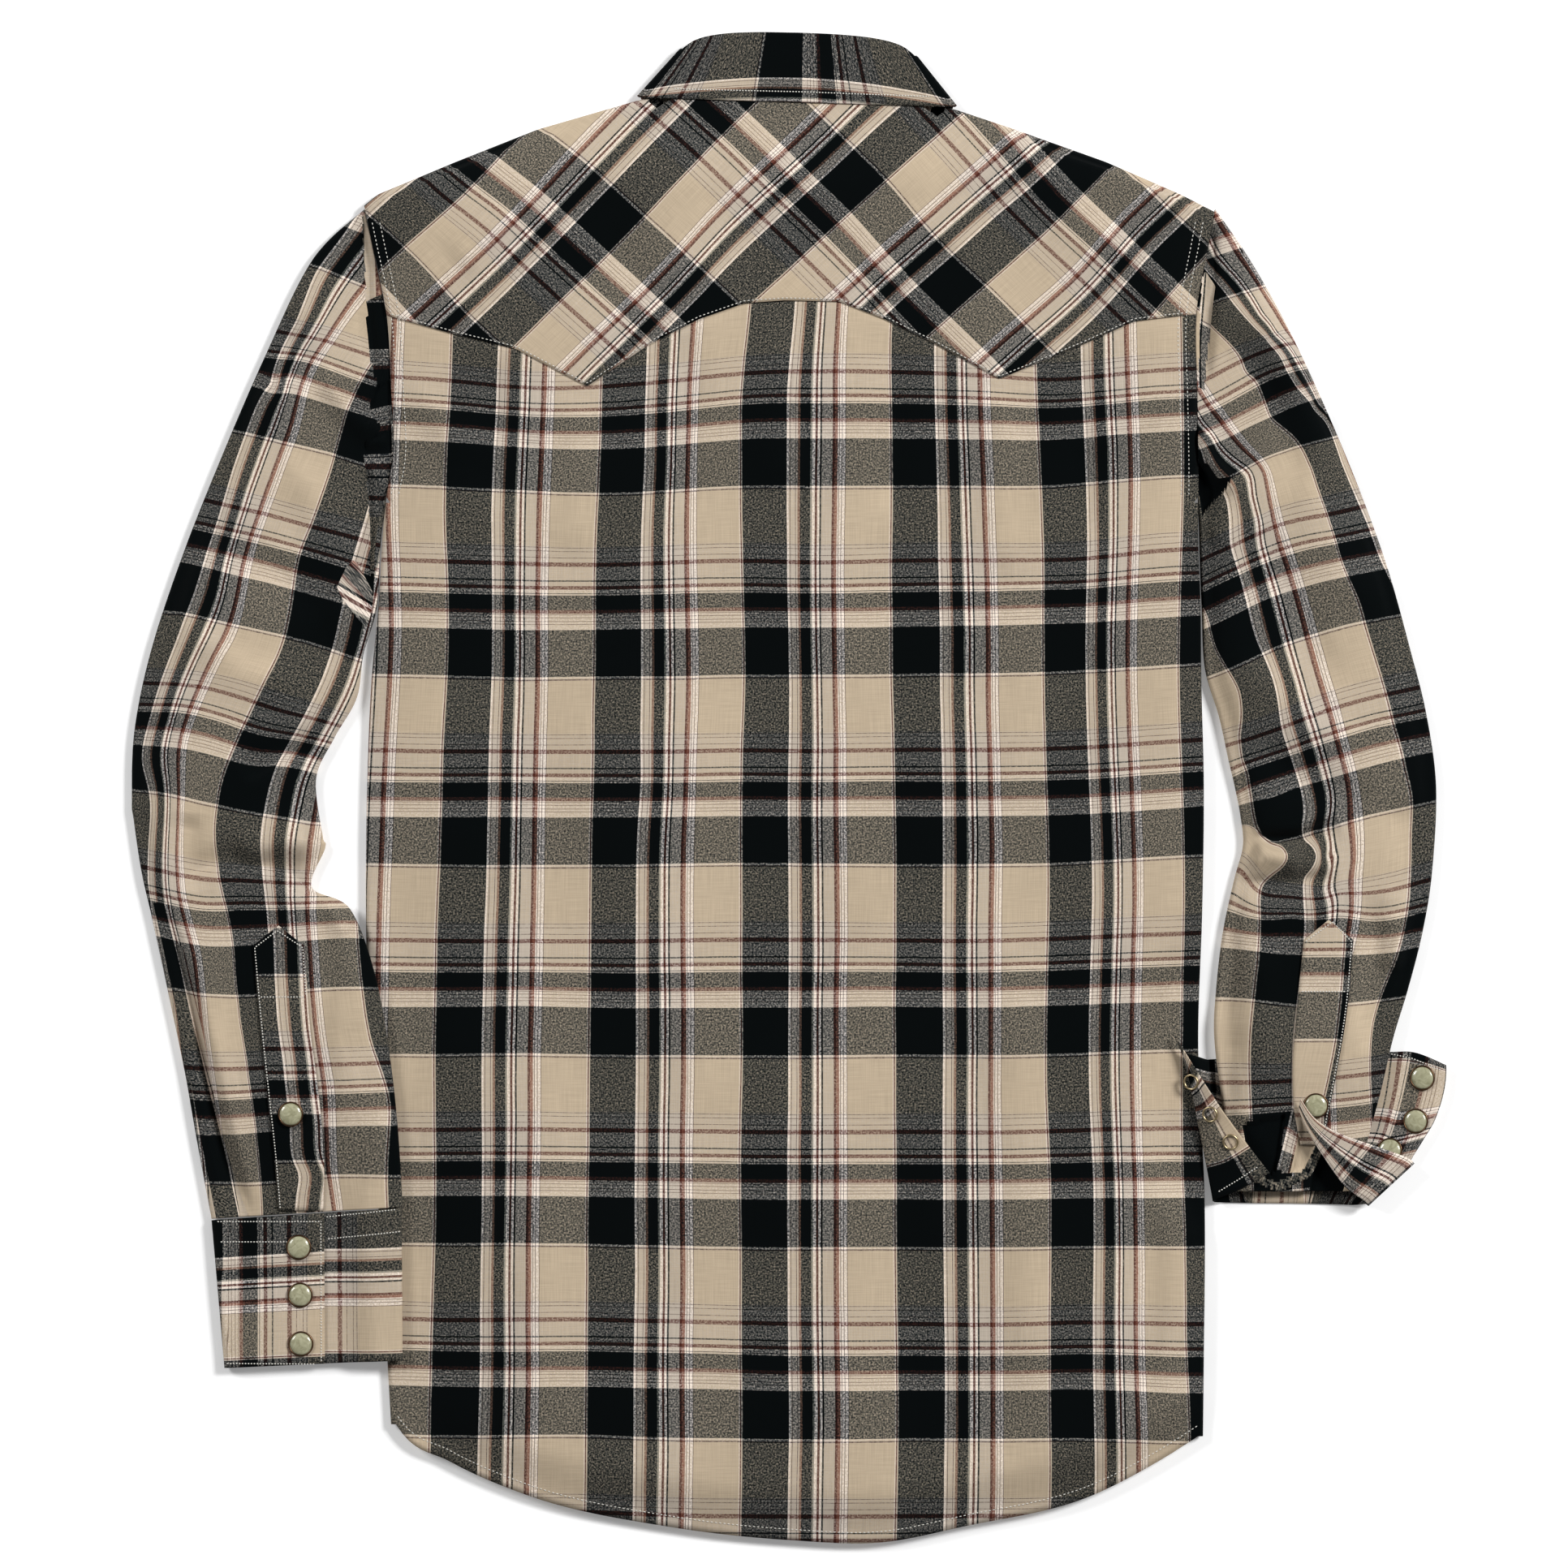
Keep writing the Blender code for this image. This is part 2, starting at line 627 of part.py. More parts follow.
def make_front(side, name):
    """A front: from the centre, under the back, round the side fold to the side seam."""
    across = across_front(side)
    parts = front_parts(side)
    above = ROWS_ABOVE + 2
    columns = []
    for part in parts:
        top = settle(across, part, front_top(side), FRONT_EDGE_GAP)
        bottom = settle(across, part, hem_y, FOLD_INSET, -350.0)
        columns.append(heights(top, bottom, above, ROWS_BELOW))
        columns[-1][-1] += FRONT_HEM_RISE
    rows = []
    for r in range(len(columns[0])):
        inset = FRONT_EDGE_GAP if r < above - 1 else FOLD_INSET
        row = []
        for c, part in enumerate(parts):
            y = columns[c][r]
            x = across(part, y, inset)
            row.append((x, y, front_z(side, x, y)))
        rows.append(row + side_fold(side, columns[-1][r], FRONT_FOLD_R)[::-1])
    last = len(parts) - 1

    def is_cloth(r, c):
        return r >= above - 1 or c < last
    cloth(name, rows, CLOTH, keep=is_cloth)


def make_yoke():
    """The yoke: on top to its pointed edge, and over the shoulders to the front seams."""
    columns = []
    is_open = []
    for part in back_parts():
        top = settle(across_back, part, shoulder_y, EDGE_GAP)
        x = across_back(part, top, EDGE_GAP)
        radius = (BACK_Z - under_z(x, top)) / 2
        turned = settle(across_back, part, turned_edge_y, EDGE_GAP)
        places = [(turned, BACK_Z - 2 * radius)]
        for degrees in SHOULDER_ARC:
            angle = math.radians(degrees)
            places.append((top - WALL / 2 - radius * (1.0 - math.cos(angle)),
                           BACK_Z - radius * (1.0 - math.sin(angle))))
        if is_neck(x):
            places[-1] = (back_neck_y(x), BACK_Z)
        low = settle(across_back, part, yoke_edge_y, EDGE_GAP)
        places += [(y, BACK_Z) for y in spread(places[-1][0], low, YOKE_ROWS)[1:]]
        columns.append([(across_back(part, y, EDGE_GAP), y, z) for y, z in places])
        is_open.append(is_neck(x))

    def is_cloth(r, c):
        return c >= len(SHOULDER_ARC) or not (is_open[r] or is_open[r + 1])
    cloth("back_yoke", columns, YOKE_CLOTH, keep=is_cloth)


# ---- collar -----------------------------------------------------------------
def collar_section(side, row, turn):
    """One section of the collar; turn is the angle of its outward side."""
    seam, top, edge = (Vector((*neck_place(side, row[part + "_x"], row[part + "_y"]),
                               COLLAR_AXIS_Z)) for part in ("seam", "top", "edge"))
    along = (top - seam).normalized()
    level = Vector((along.y, -along.x, 0.0)) * side
    angle = math.radians(turn)
    out = level * math.cos(angle) + Vector((0.0, 0.0, math.sin(angle)))
    up, down = FALL_TURN
    fall_turn = (up + down) / 2 + (up - down) / 2 * math.sin(angle)
    seam += out * STAND_TURN
    top += out * STAND_TURN
    edge += out * fall_turn
    roll = (fall_turn - STAND_TURN) / 2
    if row is COLLAR_FRONT[-1]:
        seam.z = top.z = OVERLAP_Z[0] if side < 0 else OVERLAP_Z[1]
        roll = (top.z - edge.z) / 2
    return {"seam": seam, "top": top, "edge": edge, "along": along, "out": out, "roll": roll}


def collar_sections():
    """Sections from the wearer's left end, round the back, to the right end."""
    half = [(row, 90.0) for row in COLLAR_BACK]
    half += [(COLLAR_SIDE, turn) for turn in COLLAR_TURNS]
    half += [(row, -90.0) for row in COLLAR_FRONT]
    return ([collar_section(-1, row, turn) for row, turn in reversed(half)]
            + [collar_section(1, row, turn) for row, turn in half[1:]])


def stand_end(side):
    """The stand's end past the centre front."""
    z = OVERLAP_Z[0] if side < 0 else OVERLAP_Z[1]
    return tuple(Vector((*neck_place(side, *STAND_PAST_CENTRE[part]), z))
                 for part in ("seam", "top"))


def make_collar():
    sections = collar_sections()
    pairs = [(section["seam"], section["top"]) for section in sections]
    pairs = [stand_end(-1)] + pairs + [stand_end(1)]
    cloth("collar_stand", [[mix(*pair, part) for part in STAND_PARTS] for pair in pairs], CLOTH)

    fall = []
    last = len(sections) - 1
    for i, section in enumerate(sections):
        rise = section["along"]
        if abs(section["out"].z) > 0.99:
            line = sections[min(i + 1, last)]["top"] - sections[max(i - 1, 0)]["top"]
            rise = section["out"].cross(line).normalized()
            rise.z = 0.0
        start = section["top"] + rise * ROLL_RISE
        row = []
        for degrees in (15, 50, 90, 130, 165):
            angle = math.radians(degrees)
            row.append(start + section["roll"] * (rise * math.sin(angle)
                                                  + section["out"] * (1.0 - math.cos(angle))))
        fall.append(row + [row[-1].lerp(section["edge"], part) for part in (0.15, 0.6, 1.0)])
    cloth("collar_fall", fall, YOKE_CLOTH)


# ---- sleeves ----------------------------------------------------------------
def curve_route(side, section):
    """The ring's line in plan, turning level over its hook before the inner end."""
    start = (section["outer_x"], section["outer_y"])
    end = (section["inner_x"], section["inner_y"])
    if not section["hook"]:
        return [start, end]
    corner = (end[0] + side * section["hook"], end[1])
    route = []
    for part in spread(0.0, 1.0, 13):
        route.append(mix(mix(start, corner, part), mix(corner, end, part), part))
    return route


def armhole_route(side):
    """The sleeve's first ring runs along the body's armhole edge."""
    ys = spread(BODY_EDGES[0]["y"] - 1.0, UNDERARM_Y + 1.5, 21)
    return [(body_edge(side, y) + side * 2 * SEAM_GAP, y) for y in ys]


def point_along(route, distance):
    """A place at a distance along a line of points."""
    for a, b in zip(route, route[1:]):
        step = math.dist(a, b)
        if distance <= step or b is route[-1]:
            return mix(a, b, distance / step)
        distance -= step


def ring(route, base_z, folds, raised):
    """One flattened ring of a sleeve: along the top, round the inner end, back below."""
    radius = SLEEVE_LOFT / 2
    ends = radius + WALL / 2
    length = sum(math.dist(a, b) for a, b in zip(route, route[1:]))

    def place(distance, above):
        x, y = point_along(route, distance)
        return x, y, base_z + (lift(x, y) if raised else 0.0) + above

    points = []
    for distance in spread(ends, length - ends, SLEEVE_TOP_POINTS):
        x, y, z = place(distance, SLEEVE_LOFT)
        points.append((x, y, z - trough(folds, x, y)))
    for degrees in (45, 0, -45):
        angle = math.radians(degrees)
        points.append(place(length - ends + radius * math.cos(angle),
                            radius * (1.0 + math.sin(angle))))
    points += [place(distance, 0.0)
               for distance in spread(length - ends, ends, SLEEVE_LOW_POINTS)]
    for degrees in (-45, 0, 45):
        angle = math.radians(degrees)
        points.append(place(ends - radius * math.cos(angle), radius * (1.0 + math.sin(angle))))
    return points


def make_sleeve(side, name, sections, folds, wrist_rise):
    """A sleeve, from rings: the first along the armhole, the last at the wrist."""
    rows = [ring(armhole_route(side), SLEEVE_Z, [], False)]
    for section in sections:
        on_cuff = section["lift"] and wrist_rise
        base_z = SLEEVE_Z + (wrist_rise if on_cuff else 0.0)
        raised = section["lift"] and not wrist_rise
        rows.append(ring(curve_route(side, section), base_z, folds, raised))
    return cloth(name, rows, CLOTH, closed=True)


# ---- cuffs ------------------------------------------------------------------
def make_left_cuff():
    """The closed cuff: overlap on top, round the left edge, below, up the right edge."""
    radius = SLEEVE_LOFT / 2
    ends = radius + WALL / 2
    outer_radius = radius + LAYER / 2
    rows = []
    for down in spread(0.0, 1.0, 4):
        left, right, overlap = (mix(LEFT_CUFF[corner + "_top"], LEFT_CUFF[corner + "_bottom"],
                                    down) for corner in ("left", "right", "overlap"))
        length = math.dist(left, right)
        lap = math.dist(left, overlap)

        def place(distance, above):
            x, y = mix(left, right, distance / length)
            return x, y, FLOOR_Z + lift(x, y) + above

        row = [place(d, SLEEVE_LOFT + LAYER) for d in spread(lap, ends + LAYER, 5)]
        for degrees in (120, 150, 180, 210, 240):
            angle = math.radians(degrees)
            row.append(place(ends + LAYER / 2 + outer_radius * math.cos(angle),
                             outer_radius * (1.0 + math.sin(angle))))
        row += [place(d, 0.0) for d in spread(ends + LAYER, length - ends, 9)]
        for degrees in (-60, -30, 0, 30, 60):
            angle = math.radians(degrees)
            row.append(place(length - ends + radius * math.cos(angle),
                             radius * (1.0 + math.sin(angle))))
        row += [place(d, SLEEVE_LOFT) for d in spread(length - ends, lap - UNDERLAP, 6)]
        rows.append(row)
    return cloth("left_cuff", rows, YOKE_CLOTH)


def right_cuff_grid():
    """Rows across the height of the turned-back cuff, points along its length."""
    rows = []
    for up in CUFF_HEIGHTS:
        row = []
        for section in RIGHT_CUFF:
            fold, mid, edge = (tuple(section[part + axis] for axis in ("_x", "_y", "_z"))
                               for part in ("fold", "mid", "edge"))
            row.append(mix(fold, mid, up * 2) if up <= 0.5 else mix(mid, edge, up * 2 - 1))
        rows.append(row)
    rows[1][-1] = TONGUE_CORNER
    return rows


def make_right_cuff():
    tongue = [((row["low_x"], row["low_y"], row["low_z"]),
               (row["high_x"], row["high_y"], row["high_z"])) for row in RIGHT_CUFF_TONGUE]
    return cloth("right_cuff", right_cuff_grid(), YOKE_CLOTH, tongue=tongue)


def look_down(piece, x, y, from_z=60.0):
    """The highest point of a finished piece below from_z at a place, and its normal."""
    seen = piece.evaluated_get(bpy.context.evaluated_depsgraph_get())
    hit, place, normal, _ = seen.ray_cast(Vector((x, y, from_z)) * MM, Vector((0.0, 0.0, -1.0)))
    return (place / MM, normal) if hit else (None, None)


def make_placket(name, sections, sleeve):
    """A tower placket, made from the sleeve's points and moved out."""
    shoulder, wrist = sections[0]["y"], sections[-1]["y"]
    offset = SEAM_GAP + WALL / 2 + 0.1
    reach = (-2.0, 0.0, 2.0)
    rows = []
    for down in spread(0.0, 1.0, 12):
        row = []
        for across in (0.0, 0.25, 0.5, 0.75, 1.0):
            top = shoulder + PLACKET_POINT * (1.0 - abs(2.0 * across - 1.0))
            y = top + (wrist - top) * down
            left = lookup(sections, "y", "left", y)
            x = left + (lookup(sections, "y", "right", y) - left) * across
            below = [look_down(sleeve, x + dx, y + dy)[0] for dx in reach for dy in reach]
            row.append((x, y, max(place.z for place in below if place) + offset))
        rows.append(row)
    return cloth(name, rows, YOKE_CLOTH)


# ---- snaps ------------------------------------------------------------------
def disc_mesh(name, radius, height, colour, metallic=0.0):
    """The half profile of a domed disc, its flat base at z = 0, for Screw to turn."""
    mesh = bpy.data.meshes.new(name)
    points = [(radius * r * MM, 0.0, height * h * MM) for r, h in DOME]
    mesh.from_pydata(points, [(i, i + 1) for i in range(len(points) - 1)], [])
    mesh.materials.append(material(name, colour, 0.3, metallic))
    return mesh


def place_snap(name, mesh, place, normal):
    snap = bpy.data.objects.new(name, mesh)
    shirt.objects.link(snap)
    turned = snap.modifiers.new("turned", 'SCREW')
    turned.steps = SNAP_SIDES
    turned.render_steps = SNAP_SIDES
    turned.use_merge_vertices = True
    turned.merge_threshold = 0.00005
    turned.use_smooth_shade = True
    snap.location = Vector(place) * MM
    snap.rotation_euler = Vector(normal).to_track_quat('Z', 'Y').to_euler()


def seat(name, mesh, piece, x, y, from_z=60.0):
    """Lay a snap on a piece, on the highest of the cloth under its base."""
    middle, normal = look_down(piece, x, y, from_z)
    rise = 0.0
    for angle in spread(0.0, 2 * math.pi, 13):
        around, _ = look_down(piece, x + CAP_R * math.cos(angle),
                              y + CAP_R * math.sin(angle), from_z)
        if around:
            rise = max(rise, (around - middle).dot(normal))
    place_snap(name, mesh, middle + normal * (rise + SEAM_GAP), normal)


def make_sockets(mesh):
    """Sockets up the short end of the turned-back cuff."""
    grid = right_cuff_grid()

    def up_end(column, up):
        for i in range(len(CUFF_HEIGHTS) - 1):
            low, high = CUFF_HEIGHTS[i], CUFF_HEIGHTS[i + 1]
            if up <= high:
                return Vector(mix(grid[i][column], grid[i + 1][column],
                                  (up - low) / (high - low)))

    for i, up in enumerate(RIGHT_CUFF_SOCKETS, 1):
        end = up_end(0, up)
        along = (up_end(0, up + 0.1) - up_end(0, up - 0.1)).normalized()
        inward = (up_end(1, up) - end).normalized()
        normal = inward.cross(along)
        if normal.z < 0.0:
            normal.negate()
        middle = end + inward * (SOCKET_R + 1.0) + normal * (WALL / 2 + SEAM_GAP + 0.4)
        place_snap(f"right_cuff_socket_{i}", mesh, middle, normal)


def make_snaps(left_cuff, right_cuff, left_placket, right_placket):
    cap = disc_mesh("snap_cap", CAP_R, CAP_HEIGHT, PEARL)
    front_cap = disc_mesh("front_cap", CAP_R, FRONT_CAP_HEIGHT, PEARL)
    for i, (x, y) in enumerate(LEFT_CUFF_SNAPS, 1):
        seat(f"left_cuff_snap_{i}", cap, left_cuff, x, y)
    seat("left_placket_snap", cap, left_placket, *LEFT_PLACKET_SNAP)
    seat("right_placket_snap", cap, right_placket, *RIGHT_PLACKET_SNAP)
    for i, (x, y) in enumerate(RIGHT_CUFF_CAPS, 1):
        seat(f"right_cuff_snap_{i}", cap, right_cuff, x, y, from_z=8.0)
    make_sockets(disc_mesh("snap_socket", SOCKET_R, SOCKET_HEIGHT, METAL, 1.0))
    down = (0.0, 0.0, -1.0)
    place_snap("front_snap_1", front_cap, (CENTRE_X, NECK_SNAP_Y, FRONT_CAP_HEIGHT), down)
    for i in range(FRONT_SNAPS):
        y = FIRST_SNAP_Y - FRONT_SNAP_PITCH * i
        place_snap(f"front_snap_{i + 2}", front_cap, (CENTRE_X, y, FRONT_CAP_HEIGHT), down)


# ---- build ------------------------------------------------------------------
for old in list(bpy.data.objects):
    bpy.data.objects.remove(old, do_unlink=True)
shirt = bpy.data.collections.new("western_snap_shirt")
bpy.context.scene.collection.children.link(shirt)

make_back()
make_yoke()
make_front(-1, "left_front")
make_front(1, "right_front")
make_collar()
left_sleeve = make_sleeve(-1, "left_sleeve", LEFT_SLEEVE, LEFT_SLEEVE_FOLDS, 0.0)
right_sleeve = make_sleeve(1, "right_sleeve", RIGHT_SLEEVE, RIGHT_SLEEVE_FOLDS, WRIST_RISE)
left_cuff = make_left_cuff()
right_cuff = make_right_cuff()
bpy.context.view_layer.update()
left_placket = make_placket("left_sleeve_placket", LEFT_PLACKET, left_sleeve)
right_placket = make_placket("right_sleeve_placket", RIGHT_PLACKET, right_sleeve)
bpy.context.view_layer.update()
make_snaps(left_cuff, right_cuff, left_placket, right_placket)
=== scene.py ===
"""Western snap shirt in a woven check, laid out flat on its front.

The shirt lies back side up. +X runs to the wearer's right, +Y to the collar,
+Z up from the surface. Sizes are millimetres unless a name says otherwise.
Each sewn piece is one object: a fine grid of cloth, laid on the form of its
solid, with folds, a thin wall and a map of the cloth's grain. The map counts
repeats of the check: across the warps first, then along them.
"""

import math

import bmesh
import bpy
import numpy as np
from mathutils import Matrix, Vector
from mathutils.bvhtree import BVHTree


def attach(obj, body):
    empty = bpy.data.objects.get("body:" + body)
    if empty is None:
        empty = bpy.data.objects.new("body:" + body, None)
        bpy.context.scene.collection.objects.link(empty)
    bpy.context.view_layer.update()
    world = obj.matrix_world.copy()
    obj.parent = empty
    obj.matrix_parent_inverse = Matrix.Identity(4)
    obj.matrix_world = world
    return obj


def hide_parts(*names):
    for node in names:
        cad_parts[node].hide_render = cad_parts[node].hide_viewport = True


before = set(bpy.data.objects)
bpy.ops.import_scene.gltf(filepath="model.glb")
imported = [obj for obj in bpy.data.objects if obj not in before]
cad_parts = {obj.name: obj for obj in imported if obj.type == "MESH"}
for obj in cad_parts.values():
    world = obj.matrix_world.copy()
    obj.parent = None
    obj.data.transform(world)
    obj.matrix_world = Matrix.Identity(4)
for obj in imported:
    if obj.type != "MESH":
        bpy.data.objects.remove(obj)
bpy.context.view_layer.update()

MM = 0.001

# ---- cloth and layers -------------------------------------------------------
CLOTH = 0.7             # thickness of the shirting
LAYER = 1.5             # from one layer to the next
FLOOR_Z = 0.6           # the layer that rests on the surface
BACK_Z = 5.5            # back panel
YOKE_Z = 6.1            # yoke, lapped over the back
SEAM_DIP = 1.1          # how far the back sinks where the yoke laps it
SLEEVE_Z = 0.7          # lower side of a sleeve
SLEEVE_LOFT = 4.6       # from the lower to the upper side of a sleeve
SLEEVE_CROWN = 6.0      # how far the middle of a sleeve stands over its sides
BACK_CROWN = 4.0        # how far the middle of the back stands over its sides
SIDE_CROWN = 6.0        # how much lower the back's left side lies
SIDE_REACH = 95.0       # how far in the left side is lower
RELIEF = 2.0            # strength of the ridges and troughs

# The body's side folds, the strip turned under at each, and its front.
FOLD_Z = 3.05           # axis of the folds
BACK_FOLD_R = 2.45
FRONT_FOLD_R = 0.95
FOLDED_UNDER = 50.0     # width of the strip, and at the underarm
STRIP_START = 14.0
UNDERARM_Y = 153.8
ARMHOLE_GAP = 0.2       # from the body's outline to the back and the yoke, above the underarm
FRONT_GAP = 0.8         # and to the fronts
BACK_TUCK = 7.0         # how far the back runs up under the yoke
SHOULDER_TURN = 14.0    # how far the yoke runs down in front of the shoulder folds
CENTRE_X = 4.4
FRONT_OVERLAP = 15.0    # of the fronts past the centre
OVERLAP_Z = (2.5, 4.0)  # the left and the right front where they lie over each other
OVER_BODY = 6.6         # rise of a layer that lies on the body's side edge

# Neck and collar: where the neck's middle is, its turn and half its width.
NECK_Y = 370.7
NECK_TILT = math.radians(-1.74)
NECK_HALF = 80.0
COLLAR_AXIS_Z = 3.8
STAND_TURN = 1.7        # from the axis out to the stand
FALL_TURN = (3.6, 3.2)  # and to the fall, behind the neck and in front
FALL_WIDTH = 46.0
STAND_WIDTH = 30.0
FRONT_NECK = (-12.0, (-77.0, -46.0))    # a stand end's x, and y at its seam and its top

# Grain, sleeves' details and sewing.
WARP_REPEAT = 82.0
WEFT_REPEAT = 102.6
PLACKET_RISE = 0.75     # of a placket's middle over the sleeve
PLACKET_POINT = 11.0    # how far a placket's point stands over its shoulders
CUFF_ROUND = 158.0      # the left cuff's grain, this far round, comes to the inner edge
CORNER = np.array((336.6, -202.6, 4.6))     # where the turned-back corner's fold ends
CORNER_AT = 0.27        # and at which share of the cuff
CUFF_ROWS = 34
CUFF_STATIONS = 91
TONGUE_ROWS = 41
TOWER_WARP = 83.05      # the plackets' own repeat, and the left one's along the warps
TOWER_WEFT = 100.8
FROM_ABOVE = 60.0       # where plumb lines start
SNAP_REACH = (9.0, 7.0)             # cloth is sought from here down, and this near
COARSE_STITCH = (2.3, 1.5, 0.3)     # pitch, length and half width
FINE_STITCH = (1.6, 1.1, 0.4)
STITCH_HALF_HEIGHT = 0.24
STITCH_LIFT = 0.16

# ---- measured lines ---------------------------------------------------------
# The body's outline from the shoulder tips down: y, left x, right x.
BODY_EDGES = np.array((
    (314, -230, 231), (295, -226, 227.5), (255.5, -218, 220.5), (215, -215.5, 221),
    (176, -214.7, 221.8), (153.8, -218.7, 221.8), (136, -220.2, 221.8), (101, -222.2, 223),
    (57, -226.2, 223.5), (4, -228.4, 224.8), (-66, -229.2, 224), (-137, -227.5, 221.8),
    (-225, -222.6, 225.3), (-313, -217.4, 224.8), (-352, -215.2, 224.4),
))

# Shirt-tail hem, left to right: x, y.
HEM = np.array((
    (-216, -340), (-211, -348), (-183.5, -365.4), (-143.4, -383), (-65.6, -400.6), (0, -407.9),
    (50, -409.2), (94.6, -400.6), (165.9, -383), (199.8, -365.4), (224.4, -350),
))

# Lower edge of the yoke, with its two points.
YOKE_EDGE = np.array((
    (-218, 255.4), (-181, 245), (-148, 237), (-109, 216.7), (-75, 239.6), (-48, 253.2),
    (-24, 261.6), (-2.6, 263.1), (27.3, 262.5), (51.5, 253.2), (79, 239.6), (114, 220.7),
    (160, 239.6), (187, 251.9), (220.5, 255.9),
))

YOKE_POINTS_X = (-109.0, 114.0)

# Upper edge of the yoke under the collar, out from the centre back.
YOKE_NECK = np.array((
    (0, 2.9), (62, 2.4), (70, -1.5), (76, -5.5), (80, -7),
))

# Shoulder folds, left to right.
SHOULDER = np.array((
    (-230.6, 314.4), (-222.6, 321), (-180.4, 338.6), (-136, 356.2), (-82.6, 371.6), (-75.6, 373),
    (84.4, 368.2), (91.4, 366.5), (122.3, 356.2), (171.6, 338.6), (212.1, 321), (231, 311.3),
))

# Half of the collar, centre back to centre front, from the neck centre:
# seam x y, fold x y, free edge x y, and the angle of its outward side.
COLLAR = np.array((
    (0, 3, 0, 35.6, 0, 0, 90), (25, 3, 23, 35.2, 29, 0, 90), (46, 3, 42, 33.6, 56, 0, 90),
    (62, 2.6, 55, 30.2, 76, 0, 90), (72.6, -1, 62, 24, 83.3, -0.6, 65),
    (72.6, -1, 62, 24, 83.3, -0.6, 35), (72.6, -1, 62, 24, 83.3, -0.6, 0),
    (72.6, -1, 62, 24, 83.3, -0.6, -35), (72.6, -1, 62, 24, 83.3, -0.6, -65),
    (69, -15, 58, 10, 81.5, -14, -90), (58, -38, 46, -10, 76, -46, -90),
    (36, -63, 29, -33, 63, -85, -90), (20, -73, 17, -43, 50, -112, -90),
))

# Sleeves, shoulder to wrist: the ends of each flattened ring, how far it turns
# level before its inner end, and whether it lies on something.
LEFT_SLEEVE = np.array((
    (-257.8, 285.8, -221.4, 128, 32, 0), (-283.8, 233, -223, 98, 38, 0),
    (-306.7, 180.2, -230.4, 72, 28, 0), (-327.8, 127.4, -234.1, 48.2, 14, 0),
    (-345.4, 74.6, -246.4, 26.2, 0, 0), (-354.6, 30.6, -256.1, 4.2, 0, 0),
    (-356, -6.8, -252.6, -26.6, 0, 0), (-355, -18, -251.2, -33, 0, 0),
    (-350.8, -46, -258.4, -54.6, 0, 0),
    (-345.4, -69.7, -237.6, -66.2, 0, 1), (-336.6, -110.2, -224, -101.4, 0, 1),
    (-327.4, -154.2, -216, -145.4, 0, 1), (-320.8, -191.6, -211.6, -185, 0, 1),
    (-312.8, -234, -209, -227.3, 0, 1),
))

RIGHT_SLEEVE = np.array((
    (249.5, 285.8, 222.4, 128, 28, 0), (269.3, 250.6, 223.6, 96, 34, 0),
    (290, 206.6, 225.4, 64, 34, 0), (308.4, 162.6, 233, 38, 26, 0),
    (324.3, 118.6, 238, 15.2, 16, 0), (336.6, 74.6, 241.6, -0.2, 8, 0),
    (345.4, 39.4, 244.6, -15.6, 0, 0), (350.7, -0.2, 246, -31.9, 0, 0),
    (348.5, -46.4, 241.1, -50.8, 0, 0), (343.2, -79.4, 235, -79.4, 0, 0),
    (335.3, -110.2, 231.4, -110.2, 0, 0), (327.4, -136, 230.4, -136, 0, 1),
    (320, -167.4, 234.6, -171.8, 0, 1), (306, -219, 239.5, -219, 0, 1),
))

# Right cuff, turned back: places at its fold, half way up and at its edge,
# from the socket end round under the sleeve to the cap end.
RIGHT_CUFF = np.array((
    (260, -208.8, 11, 234, -174.5, 17, 209, -134.9, 9.6),
    (244, -218, 10, 227, -180, 13.5, 211, -139, 9.4),
    (231, -223.3, 7.4, 221.6, -181.8, 9.8, 214.5, -143.7, 9.2),
    (230.6, -224.8, 4.6, 225.6, -183.4, 8, 221.2, -146, 8.4),
    (232.6, -225.2, 2.2, 229, -184.1, 3.6, 226.4, -147.7, 3.6),
    (238.6, -225.4, 0.6, 232.3, -185, 0.6, 230.2, -147.6, 0.6),
    (252.1, -225.6, 0.6, 254.3, -185, 0.6, 254.3, -146.7, 0.6),
    (276.3, -225.8, 0.6, 280.7, -185, 0.6, 285.1, -145.4, 0.6),
    (298.3, -226.4, 0.6, 318.1, -185.9, 0.6, 325.6, -143.7, 0.6),
    (305.5, -226.6, 1.6, 329, -188, 1.6, 339.9, -144.1, 2.4),
    (312.4, -225.9, 4, 348.9, -182.8, 4.6, 356, -150.7, 5),
))

# The cap end's lower corner folds back over the sleeve: its two edges.
TONGUE = np.array((
    (313.6, -226.6, 8, 338.4, -203.6, 8.6), (310.6, -223.7, 12, 334, -200.4, 12.2),
    (300.5, -216, 12.6, 318.1, -194.6, 12.8), (288.6, -199.5, 13.6, 298.2, -187.6, 14.2),
    (280.6, -186.2, 15.0, 284.8, -179.6, 15.6), (275.4, -174.2, 15.2, 276.8, -168.8, 15.6),
))

# Tower plackets: y, left x, right x.
LEFT_PLACKET = np.array((
    (-86, -290, -262.2), (-133.5, -285.6, -258.7), (-167, -282, -254.3), (-200.4, -278.5, -251.6),
    (-229.4, -276.2, -252.1),
))

RIGHT_PLACKET = np.array((
    (-82.9, 278.5, 305.4), (-118.1, 275, 302.3), (-159.5, 272.4, 295.4), (-175.3, 273.4, 292.4),
    (-194, 277, 289.5),
))

